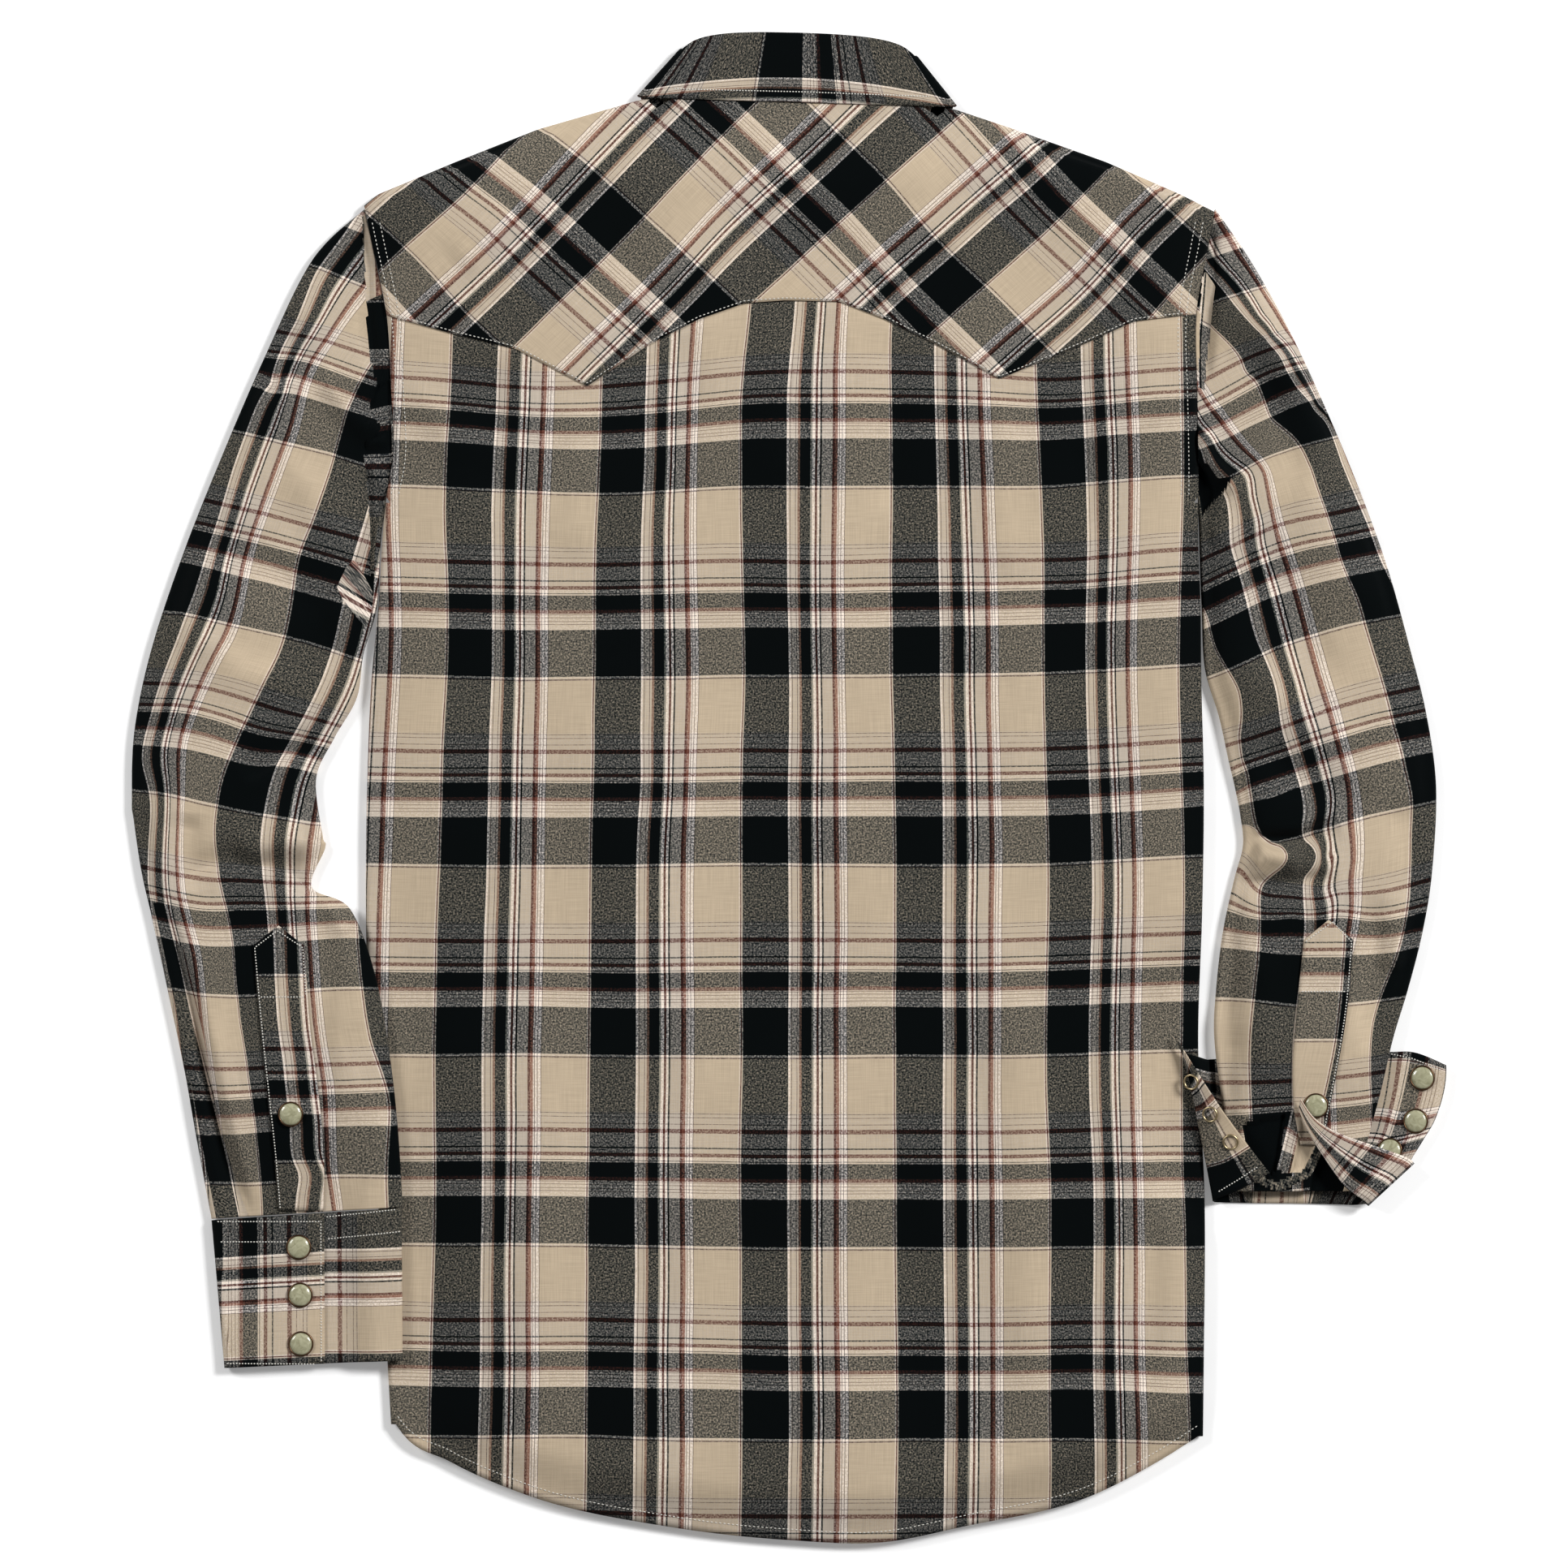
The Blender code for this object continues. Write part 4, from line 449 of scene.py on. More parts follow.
RIGHT_FOLDS_AND_PAINTED_SHADE = (
    ((
        (225.3, 279.6), (231, 271.7), (229.2, 249.7), (226.6, 233), (225.3, 214.5), (221.8, 216.3),
        (222.2, 250.6), (223.5, 274.8),
    ), (
        (224, 274.8, 0.5, 0.45), (230.1, 271.7, 0.57, 0.45), (223.5, 215.4, 0.52, 0),
        (226.6, 237.4, 0.56, 0.15),
    ), 0.5),
    # Painted shade: black threads both ways stand in for the shade deep in the right armpit.
    ((
        (218.2, 177.5), (227, 174.9), (232.3, 167), (240.2, 167.9), (235.8, 159.9), (228.8, 152.9),
        (222.6, 145), (217.4, 148.5),
    ), (
        (218.2, 177.5, 0.06, 0.05), (240.2, 167.9, 0.2, 0.05), (222.6, 145, 0.08, 0.2),
    ), 2.6),
    # Painted shade: black threads both ways stand in for the shadow where the sleeve runs into the
    # cuff.
    ((
        (245.1, -182.4), (269.3, -177.1), (264.9, -207.5), (258.7, -211.4), (249.9, -208.3),
    ), (
        (245.1, -182.4, 0.05, 0.04), (269.3, -177.1, 0.2, 0.04), (258.7, -211.4, 0.08, 0.2),
    ), 2.6),
    ((
        (272.8, -171.8), (278.5, -177.1), (271, -209.2), (264.4, -207.5),
    ), (
        (272.8, -171.8, 0.295, 0.8), (278.5, -177.1, 0.375, 0.8), (271, -209.2, 0.375, 1.09),
        (264.4, -207.5, 0.295, 1.09),
    ), -0.4),
    ((
        (278.5, -177.1), (283.8, -185.9), (285.1, -194.7), (280.3, -208.3), (271, -209.2),
    ), (
        (278.5, -177.1, 0.75, 0.35), (285.1, -194.7, 0.84, 0.35), (271, -209.2, 0.7, 0.5),
    ), 1.2),
    ((
        (249.9, -208.3), (264.4, -214.1), (279, -207.5), (285.1, -194.7), (283.8, -184.1),
        (286.9, -187.2), (288.6, -198.2), (281.6, -211.4), (265.3, -219.3), (249, -212.3),
    ), (
        (249.9, -208.3, 0.1, 0.35), (285.1, -194.7, 0.12, 0.5), (265.3, -219.3, 0.18, 0.4),
    ), -0.8),
    # Painted shade: black threads both ways stand in for the shadow beside the cuff's folded-back
    # corner.
    ((
        (284.7, -180.6), (293.9, -191.6), (302.7, -211.4), (298.3, -224.6), (281.6, -223.7),
        (282, -211.4), (288.6, -198.2),
    ), (
        (284.7, -180.6, 0.05, 0.04), (302.7, -211.4, 0.2, 0.04), (281.6, -223.7, 0.08, 0.2),
    ), 2.4),
)

# Left cuff: outer edge, inner edge and the overlap's end, each at the seam and at the free edge.
LEFT_CUFF = (((-312.8, -234.8), (-305.8, -314.8)), ((-209.6, -228.1), (-209.0, -310.4)),
             ((-251.7, -230.8), (-251.2, -312.6)))
COLLAR_CUT = (0.4825, 0.023)        # grain at the collar's free edge, centre back
LEFT_CUFF_CUT = (0.037, 0.46)       # grain at the cuff's seam and overlap end
FACING_CUT = (1.2, 0.31)            # grain of the turned-back cuff's facing, socket end
CAMERA_HEIGHT = 6.0                 # metres
VIEW_WIDTH = 0.850
CAMERA_PLACE = (-0.00264, 0.00154)
SKY_STRENGTH = 0.18
FLOOR_GLOW = 0.18
LIGHTS = (("key", (4.4, 2.4, 4.2), 1.7, 470.0), ("fill", (-2.8, 1.6, 2.2), 1.2, 85.0))

# Ridges and, with a rise below 0, troughs: line, steep side, soft side, rise.
BACK_BUMPS = (
    (((-110.9, 214.5), (-112.6, 180.2), (-114.4, 118.6)), 9, 14, 1.6),
    (((-5.3, 259.4), (-4.4, 215.4), (-6.2, 153.8)), 10, 13, 1.4),
    (((116.2, 218), (114.4, 180.2), (117.9, 109.8)), 9, 14, 1.6),
    (((-163.7, 237.4), (-158.4, 189), (-161, 145)), 8, 11, -1.5),
    (((-55.9, 250.6), (-53.7, 197.8), (-55.4, 145)), 9, 12, -1.3),
    (((56.3, 250.6), (58.1, 197.8), (55.4, 140.6)), 9, 12, -1.3),
    (((164.1, 237.4), (161.9, 180.2), (163.7, 127.4)), 8, 11, -1.5),
    (((-207.7, 219.8), (-181.3, 189), (-146.1, 180.2)), 7, 12, 1.2),
    (((210.3, 219.8), (183.9, 193.4), (153.1, 180.2)), 7, 12, 1.2),
    (((-124.1, -145.4), (-132.9, -233.4), (-141.7, -356.6)), 12, 16, 1.5),
    (((113.5, -57.4), (126.7, -189.4), (131.1, -347.8)), 12, 16, 1.5),
    (((-5.3, -101.4), (-2.6, -233.4), (-4.4, -383)), 12, 18, 1.2),
    (((-198.9, -233.4), (-197.1, -286.2), (-194.5, -339)), 8, 12, -1.3),
    (((197.1, -224.6), (195.4, -286.2), (188.3, -339)), 8, 12, -1.3),
    (((-66.9, -123.4), (-70.4, -233.4), (-73, -365.4)), 12, 16, -1.1),
    (((60.7, -136.6), (64.2, -233.4), (67.8, -365.4)), 12, 16, -1.1),
    (((-146.1, 312.2), (-181.3, 281.4)), 10, 14, 1.2),
    (((144.3, 316.6), (179.5, 281.4)), 10, 14, 1.2),
    (((-93.3, 294.6), (-75.7, 268.2), (-49.3, 259.4)), 9, 13, -1),
    (((91.5, 294.6), (69.5, 268.2), (47.5, 259.4)), 9, 13, -1),
)
LEFT_BUMPS = (
    (((-252.6, 226.4), (-238.5, 206.6), (-228.8, 196.9), (-219.1, 189.9)), 2.5, 9, 3.2),
    (((-230.6, 311.3), (-230.1, 285.8), (-228.8, 250.6), (-225.3, 220.7)), 3.5, 3, -2.4),
    (((-229.7, 185.5), (-217.4, 189)), 2.5, 4, 1.6),
    (((-228.8, 179.3), (-216.5, 159.9)), 2.5, 4, 1.4),
    (((-228.8, 173.6), (-227.5, 140.6), (-226.2, 92.2)), 2.5, 5, -2.2),
    (((-229.7, 167), (-232.3, 136.2), (-242.9, 108.9), (-246.4, 74.6)), 4, 7, 1.8),
    (((-295.7, 281.4), (-269.3, 237.4), (-251.7, 219.8)), 9, 14, -1.6),
    (((-278.1, 180.2), (-251.7, 153.8), (-234.1, 118.6)), 9, 14, 1.6),
    (((-317.7, 145), (-282.5, 118.6), (-251.7, 92.2)), 10, 14, -1.5),
    (((-330.9, 92.2), (-295.7, 61.4), (-260.5, 52.6)), 9, 13, 1.6),
    (((-253.9, 20.9), (-273.7, 17.4), (-295.7, 4.2)), 4, 11, -2.2),
    (((-251.7, -31), (-273.7, -28.8), (-300.1, -39.8)), 8, 12, 2.4),
    (((-256.1, -53.9), (-278.1, -43.3), (-304.5, -40.7), (-328.7, -46.4)), 4, 9, -2.6),
    (((-253.9, -57.4), (-242.9, -66.2), (-234.1, -79.4)), 8, 10, 1.8),
    (((-323.8, -13.4), (-325.6, -35.4), (-322.1, -57.4)), 7, 9, -1.8),
    (((-337.5, -62.7), (-330.4, -86), (-315.9, -145.4), (-304, -202.2), (-296.6, -233.4)),
     2.5, 5, -2.8),
    (((-327.4, -87.3), (-320.8, -112.4), (-312.4, -156.4), (-302.3, -193.8), (-291.7, -233.4)),
     2.5, 4, -2.4),
    (((-341.4, -88.2), (-330, -141), (-315.5, -198.2)), 5, 5, 1.8),
    (((-328.7, -141), (-312.4, -207), (-304.5, -233.4)), 3, 3, 1.2),
    (((-314.2, -119), (-300.1, -180.6), (-287.8, -233.4)), 6, 9, 1.6),
    (((-234.1, -119), (-228.8, -167.4), (-234.1, -229)), 8, 10, -1.4),
    (((-247.3, -101.4), (-242.9, -158.6), (-245.1, -224.6)), 8, 10, 1.3),
)
RIGHT_BUMPS = (
    (((228.8, 307.8), (229.7, 277), (227.9, 250.6), (225.3, 215.4)), 3, 4, -2.4),
    (((224.4, 197.8), (227.9, 178), (238.9, 166.1), (246.4, 168.7)), 3, 6, 2.8),
    (((220.9, 173.6), (227.9, 158.2), (221.8, 145)), 4, 7, -2.4),
    (((246.4, 168.7), (237.6, 151.6), (232.3, 127.4)), 6, 8, 1.8),
    (((232.3, 272.6), (258.7, 237.4), (280.7, 206.6)), 10, 14, 1.7),
    (((245.5, 250.6), (267.5, 197.8), (276.3, 153.8)), 9, 13, -1.6),
    (((271.9, 180.2), (293.9, 127.4), (311.5, 92.2)), 10, 14, 1.6),
    (((249.9, 145), (276.3, 92.2), (298.3, 48.2)), 10, 14, -1.4),
    (((241.1, 74.6), (271.9, 39.4), (311.5, 17.4)), 9, 13, 1.5),
    (((245.5, 30.6), (276.3, 4.2), (320.3, -9)), 9, 12, -1.6),
    (((249, -25.7), (257.8, -28.4), (276.3, -27.5), (298.3, -17.8)), 3.5, 9, -2.8),
    (((249.9, -33.7), (265.3, -37.2), (278.5, -38.1)), 6, 7, 3.4),
    (((241.1, -51.3), (258.7, -53), (280.7, -50.4), (298.3, -48.6)), 5, 8, -2.2),
    (((241.1, -48.6), (252.1, -35.4)), 4, 5, 1.4),
    (((331.8, -4.6), (337.9, -39.8), (335.7, -66.2)), 8, 10, -1.8),
    (((315.9, -57.4), (317.7, -101.4), (314.2, -145.4)), 9, 7, -2.2),
    (((258.7, -83.8), (257, -127.8), (259.6, -163)), 9, 11, 1.5),
    (((241.1, -75), (237.6, -119), (241.1, -158.6)), 7, 9, -1.4),
    (((329.1, -66.2), (327.4, -101.4)), 6, 9, 1.4),
)

# Rows of stitches: x, y.
COLLAR_STITCHING = (
    ((-62.5, 378.2), (-55.9, 377.7), (10.1, 376.2), (43.1, 374.9), (76.1, 373.8)),
)
LEFT_CUFF_STITCHING = (
    ((-309.8, -235.4), (-253, -235.4)),
    ((-308, -246.4), (-259.2, -246.4)),
    ((-250.8, -233), (-212.1, -228.6)),
    ((-249.9, -244.9), (-209.4, -240.5)),
    ((-253.4, -236.1), (-253.2, -312.6)),
    ((-306.2, -312.2), (-253.4, -312.6)),
)
RIGHT_CUFF_STITCHING = (
    ((232.3, -219.3), (242.9, -212.7), (253.4, -205.7)),
    ((321.2, -143.7), (337.9, -147.2), (352.9, -153.3)),
)

# Half profiles, radius and height, from the axis out and back.
PEARL_PROFILE = ((0.0, 2.5), (2.0, 2.42), (4.0, 2.12), (5.2, 1.75), (5.85, 1.3), (6.0, 0.8),
                 (6.0, 0.1), (0.0, 0.1))
RIM_PROFILE = ((6.75, 0.0), (6.9, 0.5), (6.75, 1.15), (6.35, 1.4), (6.02, 1.2), (6.02, 0.0),
               (6.75, 0.0))
SOCKET_PROFILE = ((4.4, 0.0), (4.45, 0.5), (4.25, 0.9), (3.85, 1.1), (3.45, 0.9), (3.3, 0.5),
                  (3.3, 0.0), (4.4, 0.0))

# Dyed threads of the check, as they look (0 to 255).
DYES = {
    "black": (8, 13, 14), "tan": (178, 161, 138), "white": (240, 226, 213),
    "light": (178, 166, 152), "cream": (216, 202, 186), "maroon": (72, 40, 34),
    "red": (126, 84, 70), "brown": (110, 82, 68), "mixed": (120, 118, 108),
    "line": (66, 52, 48), "clear": (255, 255, 255), "dim": (120, 108, 104),
}
# Stripes: where each starts, in parts of which a repeat has so many.
WARP_PARTS = 188.75
WEFT_PARTS = 233.75
WARP_STRIPES = (
    (0, "black"), (55.5, "white"), (58, "light"), (59.2, "line"), (59.9, "light"),
    (62.7, "line"), (63.4, "light"), (65.7, "line"), (66.4, "light"), (69, "brown"),
    (72, "black"), (84.5, "mixed"), (87, "white"), (90, "maroon"), (93, "white"),
    (96, "black"), (98.6, "light"), (111.7, "maroon"), (115, "red"), (118, "white"),
    (119.7, "line"), (120.4, "white"), (123.7, "line"), (124.4, "white"), (127.7, "line"),
    (128.7, "tan"), (183.8, "cream"), (185.3, "maroon"), (186.7, "light"),
)
WEFT_STRIPES = (
    (0, "black"), (57, "cream"), (59.5, "line"), (61.5, "tan"), (128.7, "light"),
    (148.3, "maroon"), (154.3, "light"), (171.3, "black"), (173.3, "light"),
    (178.3, "maroon"), (182.8, "cream"), (187.5, "black"), (189, "cream"), (190.3, "black"),
    (208.3, "maroon"), (213.3, "cream"),
)
WEFT_FINE = (
    (0, "clear"), (129.2, "dim"), (129.9, "clear"), (133.7, "dim"), (134.4, "clear"),
    (138.0, "dim"), (138.7, "clear"), (142.2, "dim"), (142.9, "clear"), (146.2, "dim"),
    (146.9, "clear"), (214.2, "dim"), (214.9, "clear"), (218.2, "dim"), (218.9, "clear"),
    (222.2, "dim"), (222.9, "clear"), (226.2, "dim"), (226.9, "clear"), (230.2, "dim"),
    (230.9, "clear"),
)

THREADS = (205, 256)                # half waves of the weave in a repeat
FLECKS = (88.0, 109.0, 1.0)         # grains of uneven dye in a repeat
FLECK_STRENGTH = 2.3
FLECK_MIDDLE = -0.733
WEAVE_DEPTH = -0.16
SHADED = (0.093, 0.083, 0.062)      # what two unlike threads lose together
SLUBS = ((230.0, 5.0, 1.0), (5.0, 280.0, 1.0))

# ---- curves and fields ------------------------------------------------------
def smooth(value):
    """0 to 1, soft at both ends."""
    value = np.clip(value, 0.0, 1.0)
    return value * value * (3.0 - 2.0 * value)


def ramp(value, first, second):
    """0 at first, 1 at second, soft between."""
    return smooth((np.asarray(value, float) - first) / (second - first))


def spline(rows, at):
    """A smooth line through rows, at places counted in rows."""
    rows = np.asarray(rows, float)
    at = np.clip(np.asarray(at, float), 0.0, len(rows) - 1.0)
    first = np.minimum(at.astype(int), len(rows) - 2)
    part = (at - first).reshape((-1,) + (1,) * (rows.ndim - 1))
    before, after = rows[np.maximum(first - 1, 0)], rows[np.minimum(first + 2, len(rows) - 1)]
    low, high = rows[first], rows[first + 1]
    leave, arrive = (high - before) / 2, (after - low) / 2
    return (low + part * leave + part ** 2 * (3 * (high - low) - 2 * leave - arrive)
            + part ** 3 * (2 * (low - high) + leave + arrive))


def curve(rows, key=0, value=1):
    """A smooth line through a table's rows, read at any value of its key."""
    rows = rows[np.argsort(rows[:, key])]
    keys, values = rows[:, key], rows[:, value]
    steps = np.diff(keys)
    slopes = np.diff(values) / steps
    lean = np.concatenate((slopes[:1], (slopes[:-1] * steps[1:] + slopes[1:] * steps[:-1])
                           / (steps[1:] + steps[:-1]), slopes[-1:]))

    def read(at):
        at = np.clip(np.asarray(at, float), keys[0], keys[-1])
        i = np.clip(np.searchsorted(keys, at) - 1, 0, len(steps) - 1)
        step = steps[i]
        part = (at - keys[i]) / step
        leave, arrive, rise = lean[i] * step, lean[i + 1] * step, values[i + 1] - values[i]
        return (values[i] + part * leave + part ** 2 * (3 * rise - 2 * leave - arrive)
                + part ** 3 * (leave + arrive - 2 * rise))
    return read


def run_along(points):
    """How far along a line each of its points lies."""
    return np.concatenate(([0.0], np.cumsum(np.linalg.norm(np.diff(points, axis=0), axis=1))))


def along_line(distance, run, line):
    """x and y at a distance along a line."""
    return np.array([np.interp(distance, run, line[:, i]) for i in (0, 1)])


def spread(rows, count):
    """A smooth line through rows, in even steps from the first to the last."""
    return spline(rows, np.linspace(0, len(rows) - 1, count))


def paired(across, along):
    """Two fields side by side."""
    return np.stack(np.broadcast_arrays(across, along), axis=-1)


def straight(rows, key=0, value=1):
    """A straight-sided line through a table's rows."""
    rows = rows[np.argsort(rows[:, key])]
    return lambda at: np.interp(at, rows[:, key], rows[:, value])


def chart(places, loose=0.0005):
    """A smooth field through measured places: x, y and a value at each."""
    at = places[:, :2] / 100.0
    count = len(at)

    def pull(a, b):
        square = ((a[:, None, :] - b[None, :, :]) ** 2).sum(2)
        return 0.5 * square * np.log(square + 1e-12)
    system = np.zeros((count + 3, count + 3))
    system[:count, :count] = pull(at, at) + loose * np.eye(count)
    system[:count, count] = system[count, :count] = 1.0
    system[:count, count + 1:] = at
    system[count + 1:, :count] = at.T
    weights = np.linalg.solve(system, np.append(places[:, 2], (0.0, 0.0, 0.0)))

    def read(x, y):
        x, y = np.broadcast_arrays(np.asarray(x, float), np.asarray(y, float))
        points = np.column_stack((x.ravel(), y.ravel())) / 100.0
        field = pull(points, at) @ weights[:count] + weights[count] + points @ weights[count + 1:]
        return field.reshape(x.shape)
    return read


def grain_charts(rows):
    """Two fields from rows of x, y and grain: across the warps and along them."""
    return chart(rows[:, [0, 1, 2]]), chart(rows[:, [0, 1, 3]])


def waves(seed, size, stretch=1.0, angle=0.0):
    """Soft uneven waves, from -1 to 1, about size across and stretch times as long."""
    lattice = np.random.RandomState(seed).uniform(-1.0, 1.0, (64, 64))
    turn = math.radians(angle)

    def height(x, y):
        u = (x * math.cos(turn) + y * math.sin(turn)) / size
        v = (y * math.cos(turn) - x * math.sin(turn)) / (size * stretch)
        i, j = np.floor(u).astype(int), np.floor(v).astype(int)
        a, b = smooth(u - i), smooth(v - j)

        def corner(di, dj):
            return lattice[(i + di) % 64, (j + dj) % 64]
        return ((corner(0, 0) * (1 - a) + corner(1, 0) * a) * (1 - b)
                + (corner(0, 1) * (1 - a) + corner(1, 1) * a) * b)
    return height


def inside_of(outline, x, y):
    """Whether places lie inside a closed outline."""
    inside = np.zeros(np.shape(x), bool)
    for (ax, ay), (bx, by) in zip(outline, outline[1:] + outline[:1]):
        crosses = (ay > y) != (by > y)
        inside ^= crosses & (x < ax + (y - ay) * (bx - ax) / (by - ay if by != ay else 1.0))
    return inside


def crease(line, steep, soft, rise, x, y):
    """A ridge (or with a rise below 0 a trough) along a line, steep on its left."""
    height = np.zeros(np.shape(x))
    line = np.asarray(line, float)
    lengths = np.hypot(*np.diff(line, axis=0).T)
    total, done = lengths.sum(), 0.0
    near = np.full(np.shape(x), 1e9)
    for (ax, ay), (bx, by), length in zip(line[:-1], line[1:], lengths):
        part = np.clip(((x - ax) * (bx - ax) + (y - ay) * (by - ay)) / length ** 2, 0.0, 1.0)
        ox, oy = x - ax - part * (bx - ax), y - ay - part * (by - ay)
        away = np.hypot(ox, oy)
        left = (bx - ax) * oy - (by - ay) * ox > 0
        along = (done + part * length) / total
        fade = smooth(np.minimum(along, 1.0 - along) * 4.0 + 0.08)
        here = rise * fade * np.exp(-(away / np.where(left, steep, soft)) ** 2)
        height = np.where(away < near, here, height)
        near = np.minimum(near, away)
        done += length
    return height


# ---- making pieces ----------------------------------------------------------
def new_object(name, form, finish):
    """An object at the origin from a finished form."""
    mesh = bpy.data.meshes.new(name)
    form.to_mesh(mesh)
    form.free()
    mesh.materials.append(finish)
    mesh.shade_smooth()
    piece = bpy.data.objects.new(name, mesh)
    bpy.context.scene.collection.objects.link(piece)
    return piece


def ready(piece, slot, *nodes):
    """Tie a piece to the body and hide the nodes that it stands for; the finish slot is not used.
    """
    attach(piece, "root")
    if nodes:
        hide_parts(*nodes)
    return piece


def cloth_grid(form, points, grain, keep=None, folds_and_shade=None):
    """Lay a fine grid of cloth on points (rows, columns, 3), with its grain map.

    The last argument holds the points on the outlines of places turned over or under, and of
    places where black threads stand in for shade (painted shade), the columns that they reach, a
    test for which place a point is in (0 for none), and each place's grain.
    """
    rows, columns = points.shape[:2]
    made = bmesh.ops.create_grid(form, x_segments=columns - 1, y_segments=rows - 1, size=0.5)
    layer = form.loops.layers.uv.get("grain") or form.loops.layers.uv.new("grain")
    places = (points.reshape(-1, 3) * MM).tolist()
    repeats = grain.reshape(-1, 2).tolist()
    spare = set()
    for number, vert in enumerate(made["verts"]):
        vert.co = places[number]
        for loop in vert.link_loops:
            loop[layer].uv = repeats[number]
    number_of = {vert: number for number, vert in enumerate(made["verts"])}
    if keep is not None:
        for face in {face for vert in made["verts"] for face in vert.link_faces}:
            row, column = divmod(min(number_of[vert] for vert in face.verts), columns)
            if not keep[row, column]:
                spare.add(face)
        bmesh.ops.delete(form, geom=list(spare), context='FACES')
    if folds_and_shade is not None:
        outlined, reach, place_of, grains = folds_and_shade
        bmesh.ops.connect_verts(form, verts=[vert for vert, number in number_of.items()
                                             if outlined.flat[number]])
        faces = [face for face in form.faces if all(
            reach[0] <= number_of[vert] % columns <= reach[1] for vert in face.verts)]
        middles = np.array([face.calc_center_median() for face in faces]) / MM
        for face, place in zip(faces, place_of(middles[:, 0], middles[:, 1])):
            for loop in face.loops if place else ():
                loop[layer].uv = grains[place - 1][number_of[loop.vert]]


def cloth_piece(name, node_name, points, grain, keep=None, more=(), folds_and_shade=None):
    """A sewn piece for a node: one or more grids of cloth, with a wall by Solidify."""
    form = bmesh.new()
    cloth_grid(form, points, grain, keep, folds_and_shade)
    for other_points, other_grain in more:
        cloth_grid(form, other_points, other_grain)
    bmesh.ops.remove_doubles(form, verts=form.verts, dist=0.00002)
    bmesh.ops.recalc_face_normals(form, faces=form.faces)
    piece = new_object(name, form, plaid)
    thick = piece.modifiers.new("wall", 'SOLIDIFY')
    thick.thickness = CLOTH * MM
    thick.offset = 0.0
    return ready(piece, "plaid_cloth", node_name)


def tree_of(*pieces):
    """Finished pieces as one surface to seat things on."""
    seen = bpy.context.evaluated_depsgraph_get()
    form = bmesh.new()
    for piece in pieces:
        mesh = piece.evaluated_get(seen).to_mesh()
        form.from_mesh(mesh)
        piece.evaluated_get(seen).to_mesh_clear()
    tree = BVHTree.FromBMesh(form)
    form.free()
    return tree


def drop(tree, x, y):
    """Where a plumb line meets the cloth, and the cloth's normal there."""
    place, normal, _, _ = tree.ray_cast(Vector((x, y, FROM_ABOVE)) * MM, Vector((0.0, 0.0, -1.0)))
    return (place / MM, normal) if place else (None, None)


# ---- the body's lines -------------------------------------------------------
left_edge, right_edge = curve(BODY_EDGES, 0, 1), curve(BODY_EDGES, 0, 2)
hem_line = curve(HEM)
yoke_line = straight(YOKE_EDGE)
shoulder_line = straight(SHOULDER)
body_warp, body_weft = grain_charts(BODY_GRAIN)
yoke_warp, yoke_weft = grain_charts(YOKE_GRAIN)
left_warp, left_weft = grain_charts(np.concatenate((LEFT_SLEEVE_GRAIN, LEFT_SLEEVE_HEAD)))
right_warp, right_weft = grain_charts(RIGHT_SLEEVE_GRAIN)
left_tower_line, right_tower_line = curve(LEFT_TOWER_EDGE), curve(RIGHT_TOWER_EDGE)


def body_edge(side, y):
    """x of the body's outline at a side."""
    return left_edge(y) if side < 0 else right_edge(y)


def overlap_z(side):
    """Height of a front's layer where the fronts lie over each other."""
    return OVERLAP_Z[0] if side < 0 else OVERLAP_Z[1]


def lift(x, y):
    """How far a layer rises to lie over the body's side edge."""
    inside = np.where(x < CENTRE_X, x - left_edge(y), right_edge(y) - x)
    return OVER_BODY * ramp(inside, -24.0, -3.0)


def neck_place(side, x, y):
    """Where a place measured from the middle of the neck is."""
    x = x * side
    return (CENTRE_X + x * math.cos(NECK_TILT) - y * math.sin(NECK_TILT),
            NECK_Y + x * math.sin(NECK_TILT) + y * math.cos(NECK_TILT))


def under_z(x, y):
    """Lowest layer, raised where the collar points lie beneath it."""
    away = np.abs(x - CENTRE_X)
    return FLOOR_Z + LAYER * ramp(away, 126.0, 102.0) * ramp(y - NECK_Y, -184.0, -154.0)


slow_waves = waves(3, 74.0, 1.8, 12.0)
soft_folds = waves(21, 34.0, 3.2, 6.0)
fine_waves = waves(8, 23.0, 1.6, -20.0)


def sleeve_waves(x, y):
    """The sleeves' slack."""
    return 0.9 * slow_waves(x, y) + 0.7 * soft_folds(x * 1.3, y) + 0.3 * fine_waves(x, y)


def round_off(inside, reach):
    """0 at an edge, 1 at reach from it, steep at first."""
    return 1.0 - (1.0 - np.clip(inside / reach, 0.0, 1.0)) ** 2.5


def back_rise(x, y):
    """The crown and the folds of the back and the yoke, flat under what lies on them."""
    under_sleeve = 20.0 * ramp(y, -30.0, -80.0)
    under_cuff = 20.0 * ramp(y, -60.0, -125.0) * ramp(y, -250.0, -195.0)
    inside = np.minimum(x - left_edge(y) - under_sleeve, right_edge(y) - x - under_cuff)
    reach = np.where(x < CENTRE_X, 40.0, 26.0)
    open_part = round_off(inside, reach) * ramp(y, 372.0, 322.0)
    open_part = open_part * ramp(y - hem_line(x), 0.0, 30.0)
    from_left = (x - left_edge(y) - under_sleeve) / SIDE_REACH
    rounded = 1.0 - (1.0 - np.clip(from_left, 0.0, 1.0)) ** 2
    rise = BACK_CROWN + SIDE_CROWN * (rounded - 0.3) + 0.8 * slow_waves(x, y)
    rise = rise + 1.3 * soft_folds(x, y) + 0.4 * fine_waves(x, y)
    for line, steep, soft, high in BACK_BUMPS:
        rise = rise + RELIEF * crease(line, steep, soft, high, x, y)
    return np.maximum(rise, 0.3) * open_part


def back_z(x, y):
    """Height of the back."""
    return BACK_Z + back_rise(x, y)


